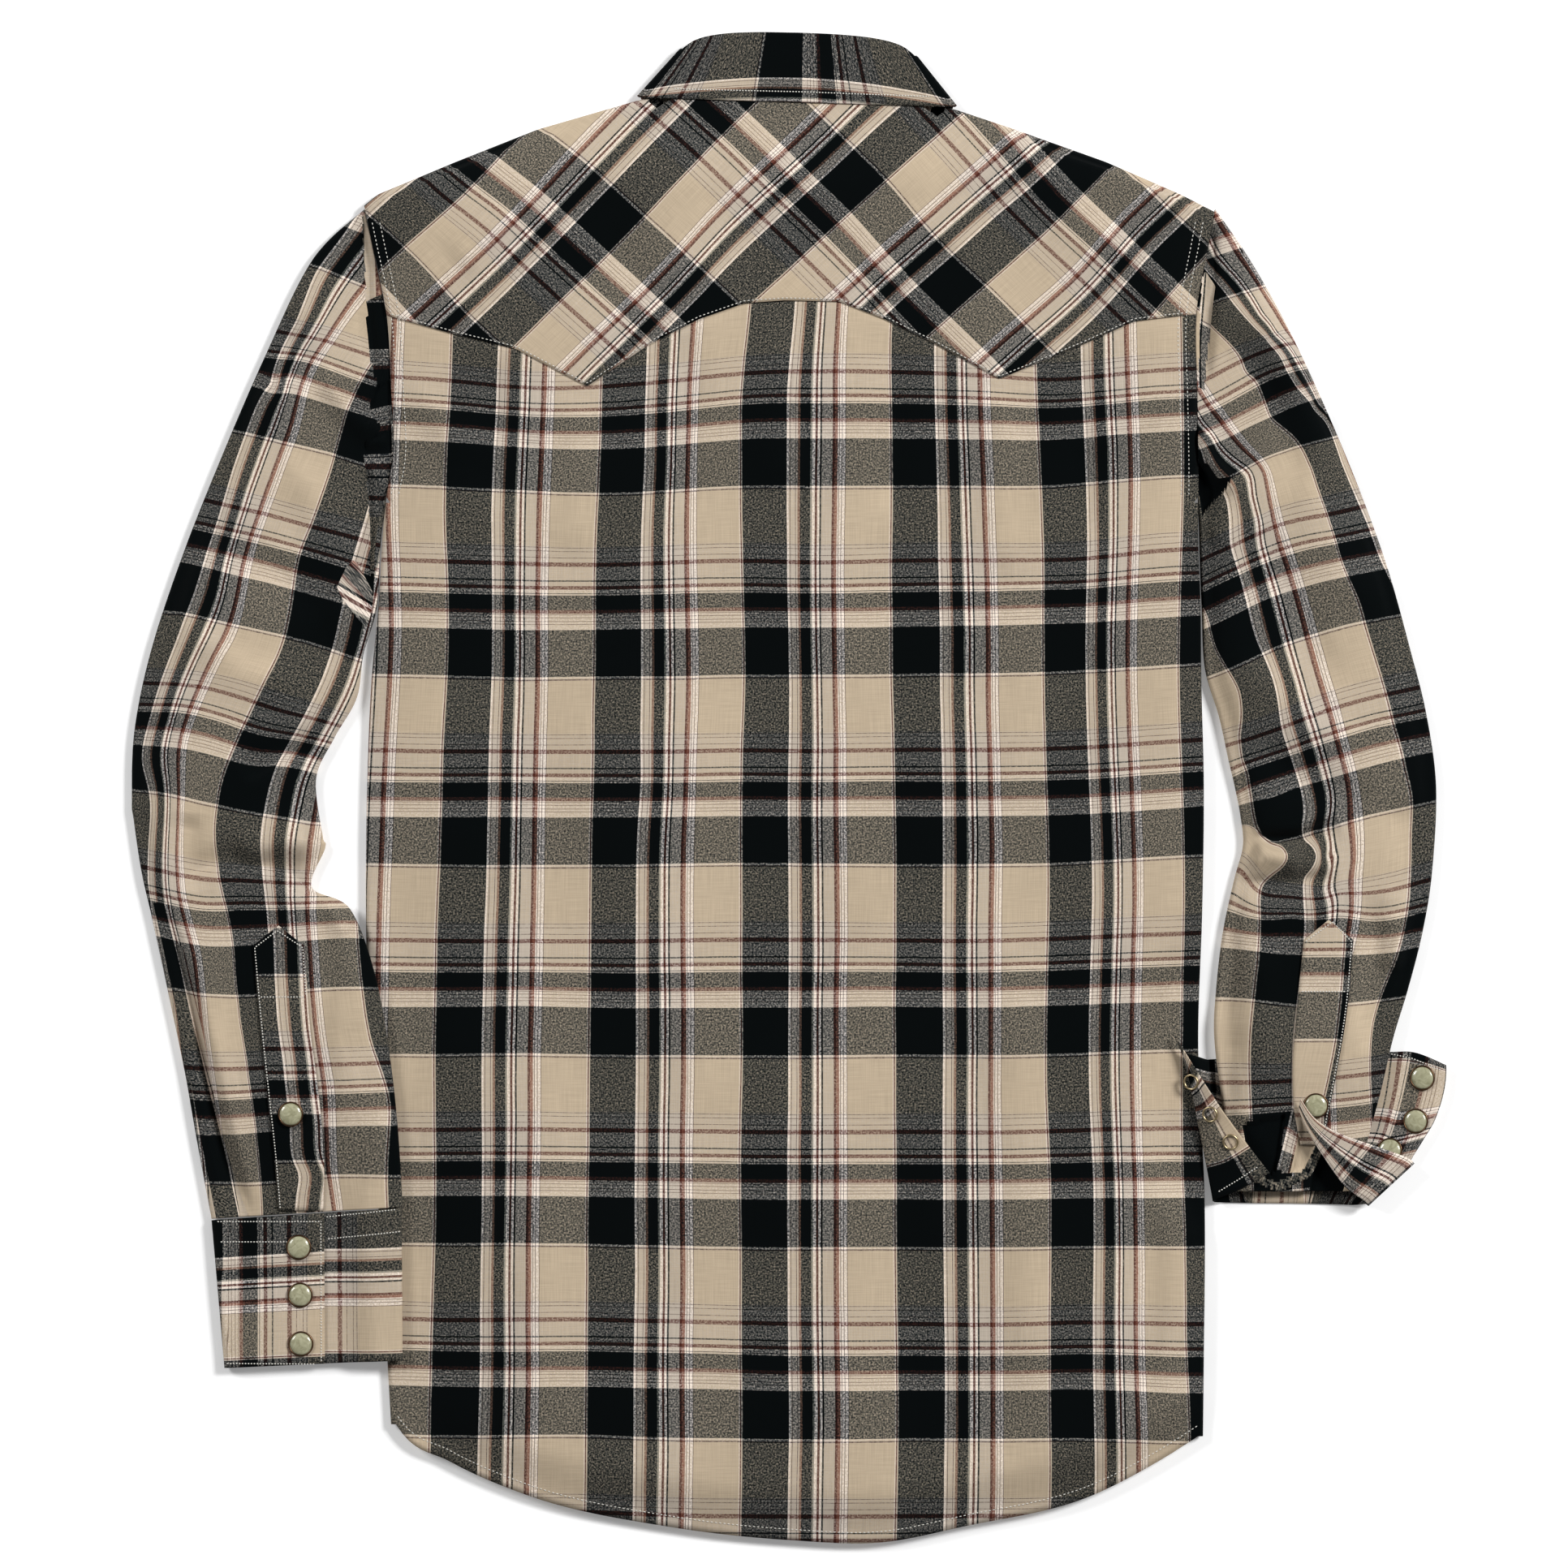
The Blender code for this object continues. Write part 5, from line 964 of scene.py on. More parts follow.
def front_z(side, x, y):
    """Height of a front: on the strip turned under, and on the other front at the middle."""
    z = under_z(x, y)
    inside = (x - body_edge(side, y)) * -side
    over_strip = ramp(inside, 86.0, 62.0) * (y <= UNDERARM_Y + 1.0)
    z = z + (FOLD_Z + FRONT_FOLD_R - z) * over_strip
    return z + (overlap_z(side) - z) * ramp(np.abs(x - CENTRE_X), 35.0, 23.0)


def strip_and_fold(side, y, radius, arc):
    """Columns of the turned-under strip and the fold at a side."""
    edge = body_edge(side, y)
    width = STRIP_START + (FOLDED_UNDER - STRIP_START) * ramp(UNDERARM_Y - y, 0.0, 60.0)
    axis = edge - side * (BACK_FOLD_R + CLOTH / 2)
    columns = []
    for part in np.linspace(1.0, 0.16, 8):
        x = edge - side * width * part
        flat = edge + side * (width * part + 3)
        columns.append((x, y, np.full(y.shape, FOLD_Z - radius), flat))
    for angle in np.linspace(-math.pi / 2, math.pi / 2, arc)[:-1]:
        x = axis + side * radius * math.cos(angle)
        flat = axis + side * radius * (math.pi / 2 - angle)
        columns.append((x, y, np.full(y.shape, FOLD_Z + radius * math.sin(angle)), flat))
    return columns


def panel_side(side, gap=ARMHOLE_GAP):
    """A panel's side line: by the body's outline, or below the underarm at the side fold."""
    return lambda y: body_edge(side, y) - side * np.where(y > UNDERARM_Y, gap,
                                                          BACK_FOLD_R + CLOTH / 2)


def part_way(part, first, last, y):
    """x at a fraction of the way from one side line to another."""
    return first(y) + part * (last(y) - first(y))


def settle(line, part, first, last, y):
    """y at which a column at a fraction across meets a line."""
    for _ in range(12):
        y = line(part_way(part, first, last, y))
    return float(y)


def snapped(count, corners):
    """Even fractions, with one moved onto each corner."""
    parts = np.linspace(0.0, 1.0, count)
    for corner in corners:
        parts[np.argmin(np.abs(parts - corner))] = corner
    return parts


# ---- body pieces ------------------------------------------------------------
def rows_of(top, bottom, above, below):
    """Even rows down a column, with one at the underarm."""
    return np.concatenate((np.linspace(top, UNDERARM_Y, above)[:-1],
                           np.linspace(UNDERARM_Y, bottom, below)))


def grid_of(columns):
    """Columns of (x, y, z, flat place) as a grid, with all of its faces to be kept."""
    grid = np.array([np.stack(column, axis=1) for column in columns]).transpose(1, 0, 2)
    return grid, np.ones(np.array(grid.shape[:2]) - 1, bool)


def make_back():
    """The back, with the strips turned under at its sides."""
    above, below = 34, 150
    first, last = panel_side(-1), panel_side(1)
    parts = np.linspace(0.0, 1.0, 134)
    ys = [rows_of(settle(yoke_line, part, first, last, 250.0) + BACK_TUCK,
                  settle(hem_line, part, first, last, -350.0), above, below) for part in parts]
    columns = []
    for y, part in zip(ys, parts):
        x = part_way(part, first, last, y)
        z = back_z(x, y) - SEAM_DIP * ramp(yoke_line(x) - y, 1.5, -2.0)
        columns.append((x, y, z, x))
    sides = []
    for side, y in ((-1, ys[0]), (1, ys[-1])):
        middle = back_z(first(y) if side < 0 else last(y), y) - BACK_Z
        sides.append([(x, y, z + middle * ramp(z, FOLD_Z - 1, FOLD_Z + BACK_FOLD_R), flat)
                      for x, y, z, flat in strip_and_fold(side, y, BACK_FOLD_R, 9)])
    turned = len(sides[0])
    grid, keep = grid_of(sides[0] + columns + sides[1][::-1])
    keep[:above - 1, :turned] = keep[:above - 1, -turned:] = False
    grain = paired(body_warp(grid[..., 3], grid[..., 1]),
                   body_weft(np.clip(grid[..., 3], -228, 224), grid[..., 1]))
    return cloth_piece("back_panel", "back", grid[..., :3], grain, keep)


def make_front(side, name):
    """A front, from past the centre to the strip turned under."""
    above, below = 22, 76
    neck = np.array([neck_place(side, x, y) for x, y in
                     [(FRONT_NECK[0], FRONT_NECK[1][0])] + [row[:2] for row in COLLAR[:8:-1]]])
    neck_line = straight(neck)

    def top(x):
        seam = shoulder_line(x) - SHOULDER_TURN - 0.7
        return np.where(np.abs(x - CENTRE_X) < NECK_HALF - 0.1, neck_line(x) - 0.3, seam)

    def bottom(x):
        return hem_line(x) + 10.0

    def middle(y):
        return np.full(np.shape(y), CENTRE_X - side * FRONT_OVERLAP)
    outer = panel_side(side, FRONT_GAP)
    span = float(outer(NECK_Y) - middle(NECK_Y))
    corners = [(x - float(middle(0))) / span for x, _ in neck[1:]]
    corners.append((CENTRE_X + side * NECK_HALF - float(middle(0))) / span)
    parts = snapped(62, corners)
    columns = []
    for part in parts:
        y = rows_of(settle(top, part, middle, outer, 300.0),
                    settle(bottom, part, middle, outer, -350.0), above, below)
        x = part_way(part, middle, outer, y)
        columns.append((x, y, front_z(side, x, y), x))
    fold = strip_and_fold(side, columns[-1][1], FRONT_FOLD_R, 7)
    turned = len(fold)
    grid, keep = grid_of(columns + fold[::-1])
    keep[:above - 1, -turned:] = False
    grain = paired(grid[..., 3] / WARP_REPEAT, -grid[..., 1] / WEFT_REPEAT)
    return cloth_piece(name + "_cloth", name, grid[..., :3], grain, keep)


def make_yoke():
    """The yoke: turned over the shoulder folds, open at the neck, down to its points."""
    first, last = panel_side(-1), panel_side(1)

    def neck_top(x):
        away = np.abs(x - CENTRE_X)
        return NECK_Y + (x - CENTRE_X) * math.tan(NECK_TILT) + np.interp(away, *YOKE_NECK.T)
    corners = [(x, float(yoke_line(x))) for x in YOKE_POINTS_X]
    corners += [(CENTRE_X + side * row[0], NECK_Y) for side in (-1, 1) for row in YOKE_NECK[1:]]
    fixed = [float((x - first(y)) / (last(y) - first(y))) for x, y in corners]
    parts = snapped(176, fixed)
    angles = np.radians(np.linspace(-90.0, 90.0, 9))
    columns, at_neck = [], []
    for part in parts:
        fold_y = settle(shoulder_line, part, first, last, 320.0)
        x = float(part_way(part, first, last, fold_y))
        radius = (YOKE_Z - float(under_z(x, fold_y))) / 2
        turned = settle(lambda at: shoulder_line(at) - SHOULDER_TURN, part, first, last, 320.0)
        ys = [turned, turned + 6.0]
        zs = [YOKE_Z - 2 * radius] * 2
        ys += list(fold_y - CLOTH / 2 - radius * (1.0 - np.cos(angles)))
        zs += list(YOKE_Z - radius * (1.0 - np.sin(angles)))
        flat = [fold_y + 16.0, fold_y + 10.0] + list(fold_y + radius * (np.pi / 2 - angles) - 2)
        open_neck = abs(x - CENTRE_X) < NECK_HALF - 0.1
        if open_neck:
            ys[-1] = flat[-1] = float(neck_top(x))
            zs[-1] = YOKE_Z
        low = settle(yoke_line, part, first, last, 250.0)
        more = list(np.linspace(ys[-1], low, 48)[1:])
        ys, zs, flat = ys + more, zs + [YOKE_Z] * len(more), flat + more
        ys, zs = np.array(ys), np.array(zs)
        xs = part_way(part, first, last, ys)
        top = np.arange(len(ys)) > 10
        z = zs + top * back_rise(xs, ys)
        columns.append((xs, ys, z, flat))
        at_neck.append(open_neck)
    grid, keep = grid_of(columns)
    shut = np.array(at_neck[:-1]) | np.array(at_neck[1:])
    keep[:10, shut] = False
    grain = paired(*(field(grid[..., 0], grid[..., 3]) for field in (yoke_warp, yoke_weft)))
    return cloth_piece("pointed_yoke", "back_yoke", grid[..., :3], grain, keep)


# ---- collar -----------------------------------------------------------------
STAND_PARTS = (0.02, 0.2, 0.4, 0.6, 0.8, 0.97)


def collar_frames(steps):
    """Sections of the collar from the left end, round the back, to the right end."""
    half = spread(COLLAR, steps * (len(COLLAR) - 1) + 1)
    frames = []
    for side, rows in ((-1, half[::-1]), (1, half[1:])):
        for row in rows:
            seam, top, edge = (Vector((*neck_place(side, row[i], row[i + 1]), COLLAR_AXIS_Z))
                               for i in (0, 2, 4))
            along = (top - seam).normalized()
            angle = math.radians(max(min(row[6], 90.0), -90.0))
            level = Vector((along.y, -along.x, 0.0)) * side
            out = level * math.cos(angle) + Vector((0.0, 0.0, math.sin(angle)))
            up, down = FALL_TURN
            fall = (up + down) / 2 + (up - down) / 2 * math.sin(angle)
            end = float(ramp(row[2], 29.0, 17.0)) if angle < -1.5 else 0.0
            z = overlap_z(side)
            seam, top, edge = seam + out * STAND_TURN, top + out * STAND_TURN, edge + out * fall
            seam.z += (z - seam.z) * end
            top.z += (z - top.z) * end
            roll = (fall - STAND_TURN) / 2 * (1 - end) + (top.z - edge.z) / 2 * end
            frames.append((seam, top, edge, along, out, abs(roll)))
    return frames


def make_collar():
    """The fall and the stand, each one sheet from end to end."""
    frames = collar_frames(7)
    stand, fall = [], []
    last = len(frames) - 1
    for i, (seam, top, edge, along, out, roll) in enumerate(frames):
        stand.append([seam.lerp(top, part) for part in STAND_PARTS])
        line = frames[min(i + 1, last)][1] - frames[max(i - 1, 0)][1]
        rise = out.cross(line).normalized()
        rise = (along.lerp(rise, abs(out.z) ** 4)).normalized()
        start = top + rise * 0.9
        row = [start + roll * (rise * math.sin(a) + out * (1.0 - math.cos(a)))
               for a in np.radians(np.linspace(10, 165, 9))]
        row += [row[-1].lerp(edge, part) for part in np.linspace(0, 1, 19)[1:]]
        fall.append(row)
    fall, stand = np.array(fall), np.array(stand)
    run = run_along(fall[:, -1, :2])
    run -= run[len(run) // 2]
    reach = np.concatenate((np.zeros((len(fall), 1)), np.cumsum(
        np.linalg.norm(np.diff(fall, axis=1), axis=2), axis=1)), axis=1)
    down = reach / reach[:, -1:] * FALL_WIDTH
    bow = 0.0225 * np.minimum((run[:, None] / 40.0) ** 2, 5.0)
    across = (down - FALL_WIDTH) / WARP_REPEAT + COLLAR_CUT[0] - bow
    across = np.where(across < 0.27, 0.27 + (across - 0.27) * 0.6, across)
    fall_grain = paired(across, -run[:, None] / WEFT_REPEAT + COLLAR_CUT[1])
    x, y = fall[..., 0], fall[..., 1]
    on_top = (fall[..., 2] > 6.5) * 1.0
    fall[..., 2] += on_top * (0.25 * fine_waves(x, y) + 0.2 * slow_waves(x, y))
    up = np.linspace(0, STAND_WIDTH, stand.shape[1])
    stand_ends = []
    for side, end in ((-1, stand[0]), (1, stand[-1])):
        low, high = (Vector((*neck_place(side, FRONT_NECK[0], y), overlap_z(side)))
                     for y in FRONT_NECK[1])
        past = np.array([low.lerp(high, part) for part in STAND_PARTS])
        stand_ends.append([end + (past - end) * part for part in (1.0, 0.75, 0.5, 0.25)])
    stand = np.concatenate((stand_ends[0], stand, stand_ends[1][::-1]))
    run = run_along(stand[:, 0, :2])
    stand_grain = paired(-up[None, :] / WARP_REPEAT, run[:, None] / WEFT_REPEAT)
    return (cloth_piece("collar_fall_cloth", "collar_fall", fall, fall_grain),
            cloth_piece("collar_stand_cloth", "collar_stand", stand, stand_grain))


# ---- sleeves ----------------------------------------------------------------
LINE_POINTS = 41
SLEEVE_ROWS = 370
UNDER_COLUMNS = 12
TURN_STEPS = 9
TOP_COLUMNS = 90
TOP_START = UNDER_COLUMNS + TURN_STEPS - 2
SLEEVE_COLUMNS = TOP_START + TOP_COLUMNS + TURN_STEPS


def even_line(points, count):
    """A line of points, respaced evenly."""
    points = np.asarray(points, float)
    run = run_along(points)
    at = np.linspace(0.0, run[-1], count)
    return along_line(at, run, points).T


def sleeve_lines(side, sections, count):
    """Lines across the sleeve, outer to inner end, from the armhole to the wrist."""
    ys = np.linspace(313.0, UNDERARM_Y + 1.5, LINE_POINTS)
    lines = [even_line(paired(body_edge(side, ys) + side * 0.1, ys), LINE_POINTS)]
    parts = np.linspace(0.0, 1.0, LINE_POINTS)[:, None]
    for ox, oy, ix, iy, hook, _ in sections:
        start, end = np.array((ox, oy)), np.array((ix, iy))
        corner = end + np.array((side * hook, 0.0)) if hook else (start + end) / 2
        lines.append(even_line((start * (1 - parts) + corner * parts) * (1 - parts)
                               + (corner * (1 - parts) + end * parts) * parts, LINE_POINTS))
    at = np.linspace(0.0, len(lines) - 1.0, count)
    return spline(lines, at), at


def make_sleeve(side, name, sections, bumps, folds_and_shade, warp, weft, wrist_rise):
    """A flattened sleeve: a strip below, round the outer side, over the top, round the inner."""
    charts = [(outline, *grain_charts(np.array(rows)), low) for outline, rows, low in folds_and_shade]
    lines, at = sleeve_lines(side, sections, SLEEVE_ROWS)
    lying = spline(np.concatenate(([0.0], sections[:, 5]))[:, None], at)[:, 0]
    radius = SLEEVE_LOFT / 2
    ends = radius + CLOTH / 2
    sense = -1.0 if side < 0 else 1.0
    rows, grains = [], []
    outlined = np.zeros((SLEEVE_ROWS, SLEEVE_COLUMNS), bool)
    for number, (line, raised, place_at) in enumerate(zip(lines, lying, at)):
        run = run_along(line)
        length = run[-1]
        base = SLEEVE_Z + wrist_rise * smooth(raised)
        points, grain = [], []

        def on_line(distance):
            return along_line(distance, run, line)

        def base_at(x, y):
            return base + (lift(x, y) * smooth(raised) if not wrist_rise else 0.0)

        def round_end(angles, end, away, u, way):
            for angle in angles:
                x, y = end + away * radius * math.cos(angle)
                points.append((x, y, base_at(*end) + radius * (1.0 + math.sin(angle))))
                over = way * radius * (math.pi / 2 - angle - 1.0)
                grain.append((u + over / WARP_REPEAT, float(weft(x, y))))
        outward = line[0] - line[1]
        outward /= np.hypot(*outward)
        inward = line[-1] - line[-2]
        inward /= np.hypot(*inward)
        first, final = on_line(ends), on_line(length - ends)
        u_outer, u_inner = float(warp(*line[0])), float(warp(*line[-1]))
        for distance in np.linspace(length - ends - 8.0, ends, UNDER_COLUMNS):
            x, y = on_line(distance)
            points.append((x, y, base_at(x, y)))
            grain.append((u_outer + sense * (distance + 4.0) / WARP_REPEAT, float(weft(x, y))))
        angles = np.linspace(-math.pi / 2, math.pi / 2, TURN_STEPS)
        round_end(angles[1:-1], first, outward, u_outer, sense)
        distances = np.linspace(ends, length - ends, TOP_COLUMNS)
        closer = np.linspace(ends, length - ends, 1500)
        x, y = on_line(closer)
        for outline, _, _, _ in charts:
            turns = np.nonzero(np.diff(inside_of(outline, x, y)))[0]
            for turn in closer[turns]:
                nearest = np.argmin(np.abs(distances - turn))
                if 0 < nearest < len(distances) - 1:
                    distances[nearest] = turn
                    outlined[number, TOP_START + nearest] = True
        x, y = on_line(distances)
        inside = np.minimum(distances - ends, length - ends - distances)
        crown = SLEEVE_CROWN * ramp(place_at, 0.0, 2.0) * ramp(len(sections) - place_at, 0.0, 1.6)
        rise = crown * round_off(inside, 24.0) + sleeve_waves(x, y)
        for line_of, steep, soft, high in bumps:
            rise = rise + RELIEF * crease(line_of, steep, soft, high, x, y)
        rise = rise * ramp(inside, -3.0, 9.0)
        for outline, _, _, low in charts:
            here = inside_of(outline, (x[1:] + x[:-1]) / 2, (y[1:] + y[:-1]) / 2)
            left_of, right_of = np.append(False, here), np.append(here, False)
            rise = rise - low * ((left_of & right_of) if low > 0 else (left_of | right_of))
        z = base_at(x, y) + SLEEVE_LOFT + np.maximum(rise, -3.2)
        points += list(zip(x, y, z))
        grain += list(zip(warp(x, y), weft(x, y)))
        round_end(-angles[1:], final, inward, u_inner, -sense)
        x, y = on_line(length - ends - 8.0)
        points.append((x, y, base_at(x, y)))
        grain.append((u_inner - sense * 10.0 / WARP_REPEAT, float(weft(x, y))))
        rows.append(points)
        grains.append(grain)
    rows, grains = np.array(rows), np.array(grains)
    x, y = rows[..., 0], rows[..., 1]
    # Each place's own grain; at some places black threads stand in for shade (painted shade).
    fold_and_shade_grains = [paired(place_warp(x, y), place_weft(x, y)).reshape(-1, 2).tolist()
                   for _, place_warp, place_weft, _ in charts]

    def place_of(x, y):
        place = np.zeros(x.shape, int)
        for number, (outline, _, _, _) in enumerate(charts, 1):
            place[inside_of(outline, x, y)] = number
        return place
    reach = (TOP_START, TOP_START + TOP_COLUMNS - 1)
    return cloth_piece(name + "_cloth", name, rows, grains,
                       folds_and_shade=(outlined, reach, place_of, fold_and_shade_grains))


# ---- cuffs and plackets -----------------------------------------------------
def make_left_cuff():
    """The closed cuff: overlap on top, round the outer edge, below, up the inner edge."""
    radius = SLEEVE_LOFT / 2
    ends = radius + CLOTH / 2
    outer_radius = radius + LAYER / 2
    rows, grains = [], []
    for down in np.linspace(0.0, 1.0, CUFF_ROWS):
        left, right, lap_end = (np.array(a) + (np.array(b) - np.array(a)) * down for a, b in
                                LEFT_CUFF)
        length, lap = np.hypot(*(right - left)), np.hypot(*(lap_end - left))

        def place(distance, above):
            x, y = left + (right - left) * distance / length
            return x, y, FLOOR_Z + float(lift(x, y)) + above
        row = [place(d, SLEEVE_LOFT + LAYER) for d in np.linspace(lap, ends + LAYER, 26)]
        run = [lap - d for d in np.linspace(lap, ends + LAYER, 26)]
        for angle in np.radians(np.linspace(100, 260, 11)):
            row.append(place(ends + LAYER / 2 + outer_radius * math.cos(angle),
                             outer_radius * (1.0 + math.sin(angle))))
            run.append(lap - ends - LAYER + outer_radius * (angle - math.pi / 2))
        for d in np.linspace(ends + LAYER, length - ends, 40):
            row.append(place(d, 0.0))
            run.append(lap + (CUFF_ROUND - lap) * d / length)
        for angle in np.radians(np.linspace(-80, 80, 11)):
            row.append(place(length - ends + radius * math.cos(angle),
                             radius * (1.0 + math.sin(angle))))
            run.append(CUFF_ROUND + radius * (angle + math.pi / 2))
        for d in np.linspace(length - ends, lap - 24.0, 34):
            row.append(place(d, SLEEVE_LOFT))
            run.append(CUFF_ROUND + radius * math.pi + length - ends - d)
        row, run = np.array(row), np.array(run)
        on_top = row[:, 2] > FLOOR_Z + SLEEVE_LOFT - 0.5
        row[:, 2] += on_top * 0.3 * fine_waves(row[:, 0], row[:, 1])
        rows.append(row)
        under = ramp(run, lap, CUFF_ROUND)
        lean = 0.066 * ramp(run, CUFF_ROUND, CUFF_ROUND + 1.4 * length)
        grains.append(paired(LEFT_CUFF_CUT[0] + down * 1.01 + lean,
                             LEFT_CUFF_CUT[1] + run / WEFT_REPEAT + 0.27 * under))
    return cloth_piece("left_cuff_cloth", "left_cuff", np.array(rows), np.array(grains))


def make_right_cuff():
    """The turned-back cuff, with the corner that folds back over the sleeve."""
    stations = spread(RIGHT_CUFF, CUFF_STATIONS)
    heights = np.linspace(0.0, 1.0, CUFF_ROWS)
    fold, mid, edge = (stations[:, None, i:i + 3] for i in (0, 3, 6))
    up = heights[None, :, None]
    grid = np.where(up <= 0.5, fold + (mid - fold) * up * 2, mid + (edge - mid) * (up * 2 - 1))
    soft = fold * (1 - up) * (1 - 2 * up) + mid * 4 * up * (1 - up) + edge * up * (2 * up - 1)
    grid = grid * 0.4 + soft * 0.6
    pulled = ramp(np.arange(CUFF_STATIONS), 80.0, 90.0)[:, None, None]
    bent = np.where(up <= CORNER_AT, fold + (CORNER - fold) * up / CORNER_AT,
                    CORNER + (mid - CORNER) * (up - CORNER_AT) / (0.5 - CORNER_AT))
    bent = np.where(up <= 0.5, bent, grid)
    grid = grid + (bent - grid) * pulled
    run = run_along(grid.mean(axis=1))
    turn = (run[-1] + FACING_CUT[1] * WEFT_REPEAT) / 2
    along = FACING_CUT[1] + (np.abs(run - turn) - turn) / WEFT_REPEAT
    capped = ramp(run, turn - 8.0, turn + 8.0)[:, None]
    up_grain = heights[None, :]
    on_floor = ramp(run, 30.0, 62.0)[:, None]
    across = FACING_CUT[0] - 0.4 * on_floor - up_grain
    across = across * (1 - capped) + (0.037 + up_grain) * capped
    grain = paired(across, along[:, None])
    shared = int(np.argmin(np.abs(heights - CORNER_AT))) + 1
    first = grid[-1, :shared]
    strips = spread(np.vstack((np.concatenate((first[0], first[-1])), TONGUE)), TONGUE_ROWS)
    across = np.linspace(0, 1, shared)[None, :, None]
    tongue = strips[:, None, :3] * (1 - across) + strips[:, None, 3:] * across
    bend = ramp(np.arange(TONGUE_ROWS), 8.0, 0.0)[:, None, None]
    tongue = tongue + (first - (first[0] + (first[-1] - first[0]) * across[0])) * bend
    tongue[0] = first
    tongue_grain = paired(0.29 + 0.36 * across[..., 0],
                          1.06 - run_along(strips[:, :3])[:, None] / WEFT_REPEAT)
    return cloth_piece("right_cuff_cloth", "right_cuff", grid, grain,
                       more=[(tongue, tongue_grain)])


def left_tower(x, y):
    """Grain of the left placket, from its black stripe's edge."""
    return 0.294 + (x - left_tower_line(y)) / TOWER_WARP, -(y + 76.7) / TOWER_WEFT


def right_tower(x, y):
    """Grain of the right placket, from its black stripe's edge."""
    return 1.0 + (x - right_tower_line(y)) / TOWER_WARP, -(y + 111.3) / WEFT_REPEAT


def make_placket(name, sections, sleeve, grain_at):
    """A tower placket, laid on the sleeve."""
    tree = tree_of(sleeve)
    left, right = curve(sections, 0, 1), curve(sections, 0, 2)
    shoulder, wrist = sections[0, 0], sections[-1, 0]
    across = np.linspace(0.0, 1.0, 13)
    rows, grains = [], []
    for down in np.linspace(0.0, 1.0, 60):
        row, grain = [], []
        for part in across:
            top = shoulder + PLACKET_POINT * (1.0 - abs(2.0 * part - 1.0))
            y = top + (wrist - top) * down
            x = float(part_way(part, left, right, y))
            place, _ = drop(tree, x, y)
            z = place.z + PLACKET_RISE if place else row[-1][2]
            row.append((x, y, z))
            grain.append(grain_at(x, y))
        rows.append(row)
        grains.append(grain)
    return cloth_piece(name + "_placket_cloth", name + "_sleeve_placket", np.array(rows),
                       np.array(grains))


# ---- snaps and stitching ----------------------------------------------------
def node_axis(node_name):
    """The middle of a snap node's flat base, and the base's normal turned outward."""
    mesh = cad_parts[node_name].data
    areas = {}
    for face in mesh.polygons:
        key = tuple(round(value, 2) for value in face.normal)
        areas.setdefault(key, [0.0, Vector(), Vector()])
        entry = areas[key]
        entry[0] += face.area
        entry[1] += face.normal * face.area
        entry[2] += face.center * face.area
    area, normal, middle = max(areas.values(), key=lambda entry: entry[0])
    return middle / area / MM, -normal.normalized()


def make_turned(name, profile, sides, base, axis, finish):
    """A half profile of (radius, height), turned round an axis that stands on a base."""
    form = bmesh.new()
    line = [form.verts.new((r * MM, 0.0, h * MM)) for r, h in profile]
    edges = [form.edges.new(pair) for pair in zip(line, line[1:])]
    bmesh.ops.spin(form, geom=line + edges, cent=(0, 0, 0), axis=(0, 0, 1), angle=2 * math.pi,
                   steps=sides, use_merge=True)
    bmesh.ops.remove_doubles(form, verts=form.verts, dist=1e-6)
    bmesh.ops.recalc_face_normals(form, faces=form.faces)
    turn = Vector(axis).to_track_quat('Z', 'Y').to_matrix().to_4x4()
    bmesh.ops.transform(form, matrix=turn, verts=form.verts)
    bmesh.ops.translate(form, vec=Vector(base) * MM, verts=form.verts)
    return new_object(name, form, finish)


def make_snap(node_name, tree=None, flat=1.0):
    """A pearl cap set in a thin dark rim, where its node is, seated on the cloth."""
    base, axis = node_axis(node_name)
    if tree:
        place, _, _, _ = tree.ray_cast((base + axis * SNAP_REACH[0]) * MM, -axis)
        if place and (place / MM - base).length < SNAP_REACH[1]:
            base = place / MM
    for kind, profile, finish in (("_cap", PEARL_PROFILE, pearl), ("_rim", RIM_PROFILE, rim)):
        low = [(radius, height * flat) for radius, height in profile]
        ready(make_turned(node_name + kind, low, 40, base, axis, finish), "snap_cap", node_name)


def stitch_line(name, line, tree, pitch, length, wide):
    """A row of stitches along a line on the cloth, each a short rounded thread."""
    line = np.asarray(line, float)
    run = run_along(line)
    form = bmesh.new()
    for middle in np.arange(pitch / 2, run[-1], pitch):
        ends = []
        for at in (middle - length / 2, middle + length / 2):
            hit, normal = drop(tree, *along_line(at, run, line))
            if hit is None:
                break
            ends.append((hit, normal if normal.z > 0 else -normal))
        if len(ends) < 2 or (ends[1][0] - ends[0][0]).length > length * 1.8:
            continue
        (a, up), (b, _) = ends
        along = (b - a).normalized()
        made = bmesh.ops.create_icosphere(form, subdivisions=1, radius=1.0)
        across = up.cross(along).normalized()
        size = ((along, (b - a).length / 2), (across, wide),
                (along.cross(across), STITCH_HALF_HEIGHT))
        place = (a + b) / 2 + up * STITCH_LIFT
        for vert in made["verts"]:
            co = vert.co.copy()
            vert.co = (place + sum((axis * co[i] * half for i, (axis, half) in enumerate(size)),
                                   Vector())) * MM
    return ready(new_object(name, form, thread), "plaid_cloth")


def offset_line(rows, away):
    """A line moved to its left by a distance."""
    rows = np.asarray(rows, float)
    along = np.gradient(rows, axis=0)
    along /= np.linalg.norm(along, axis=1)[:, None]
    return rows + paired(-along[:, 1], along[:, 0]) * away


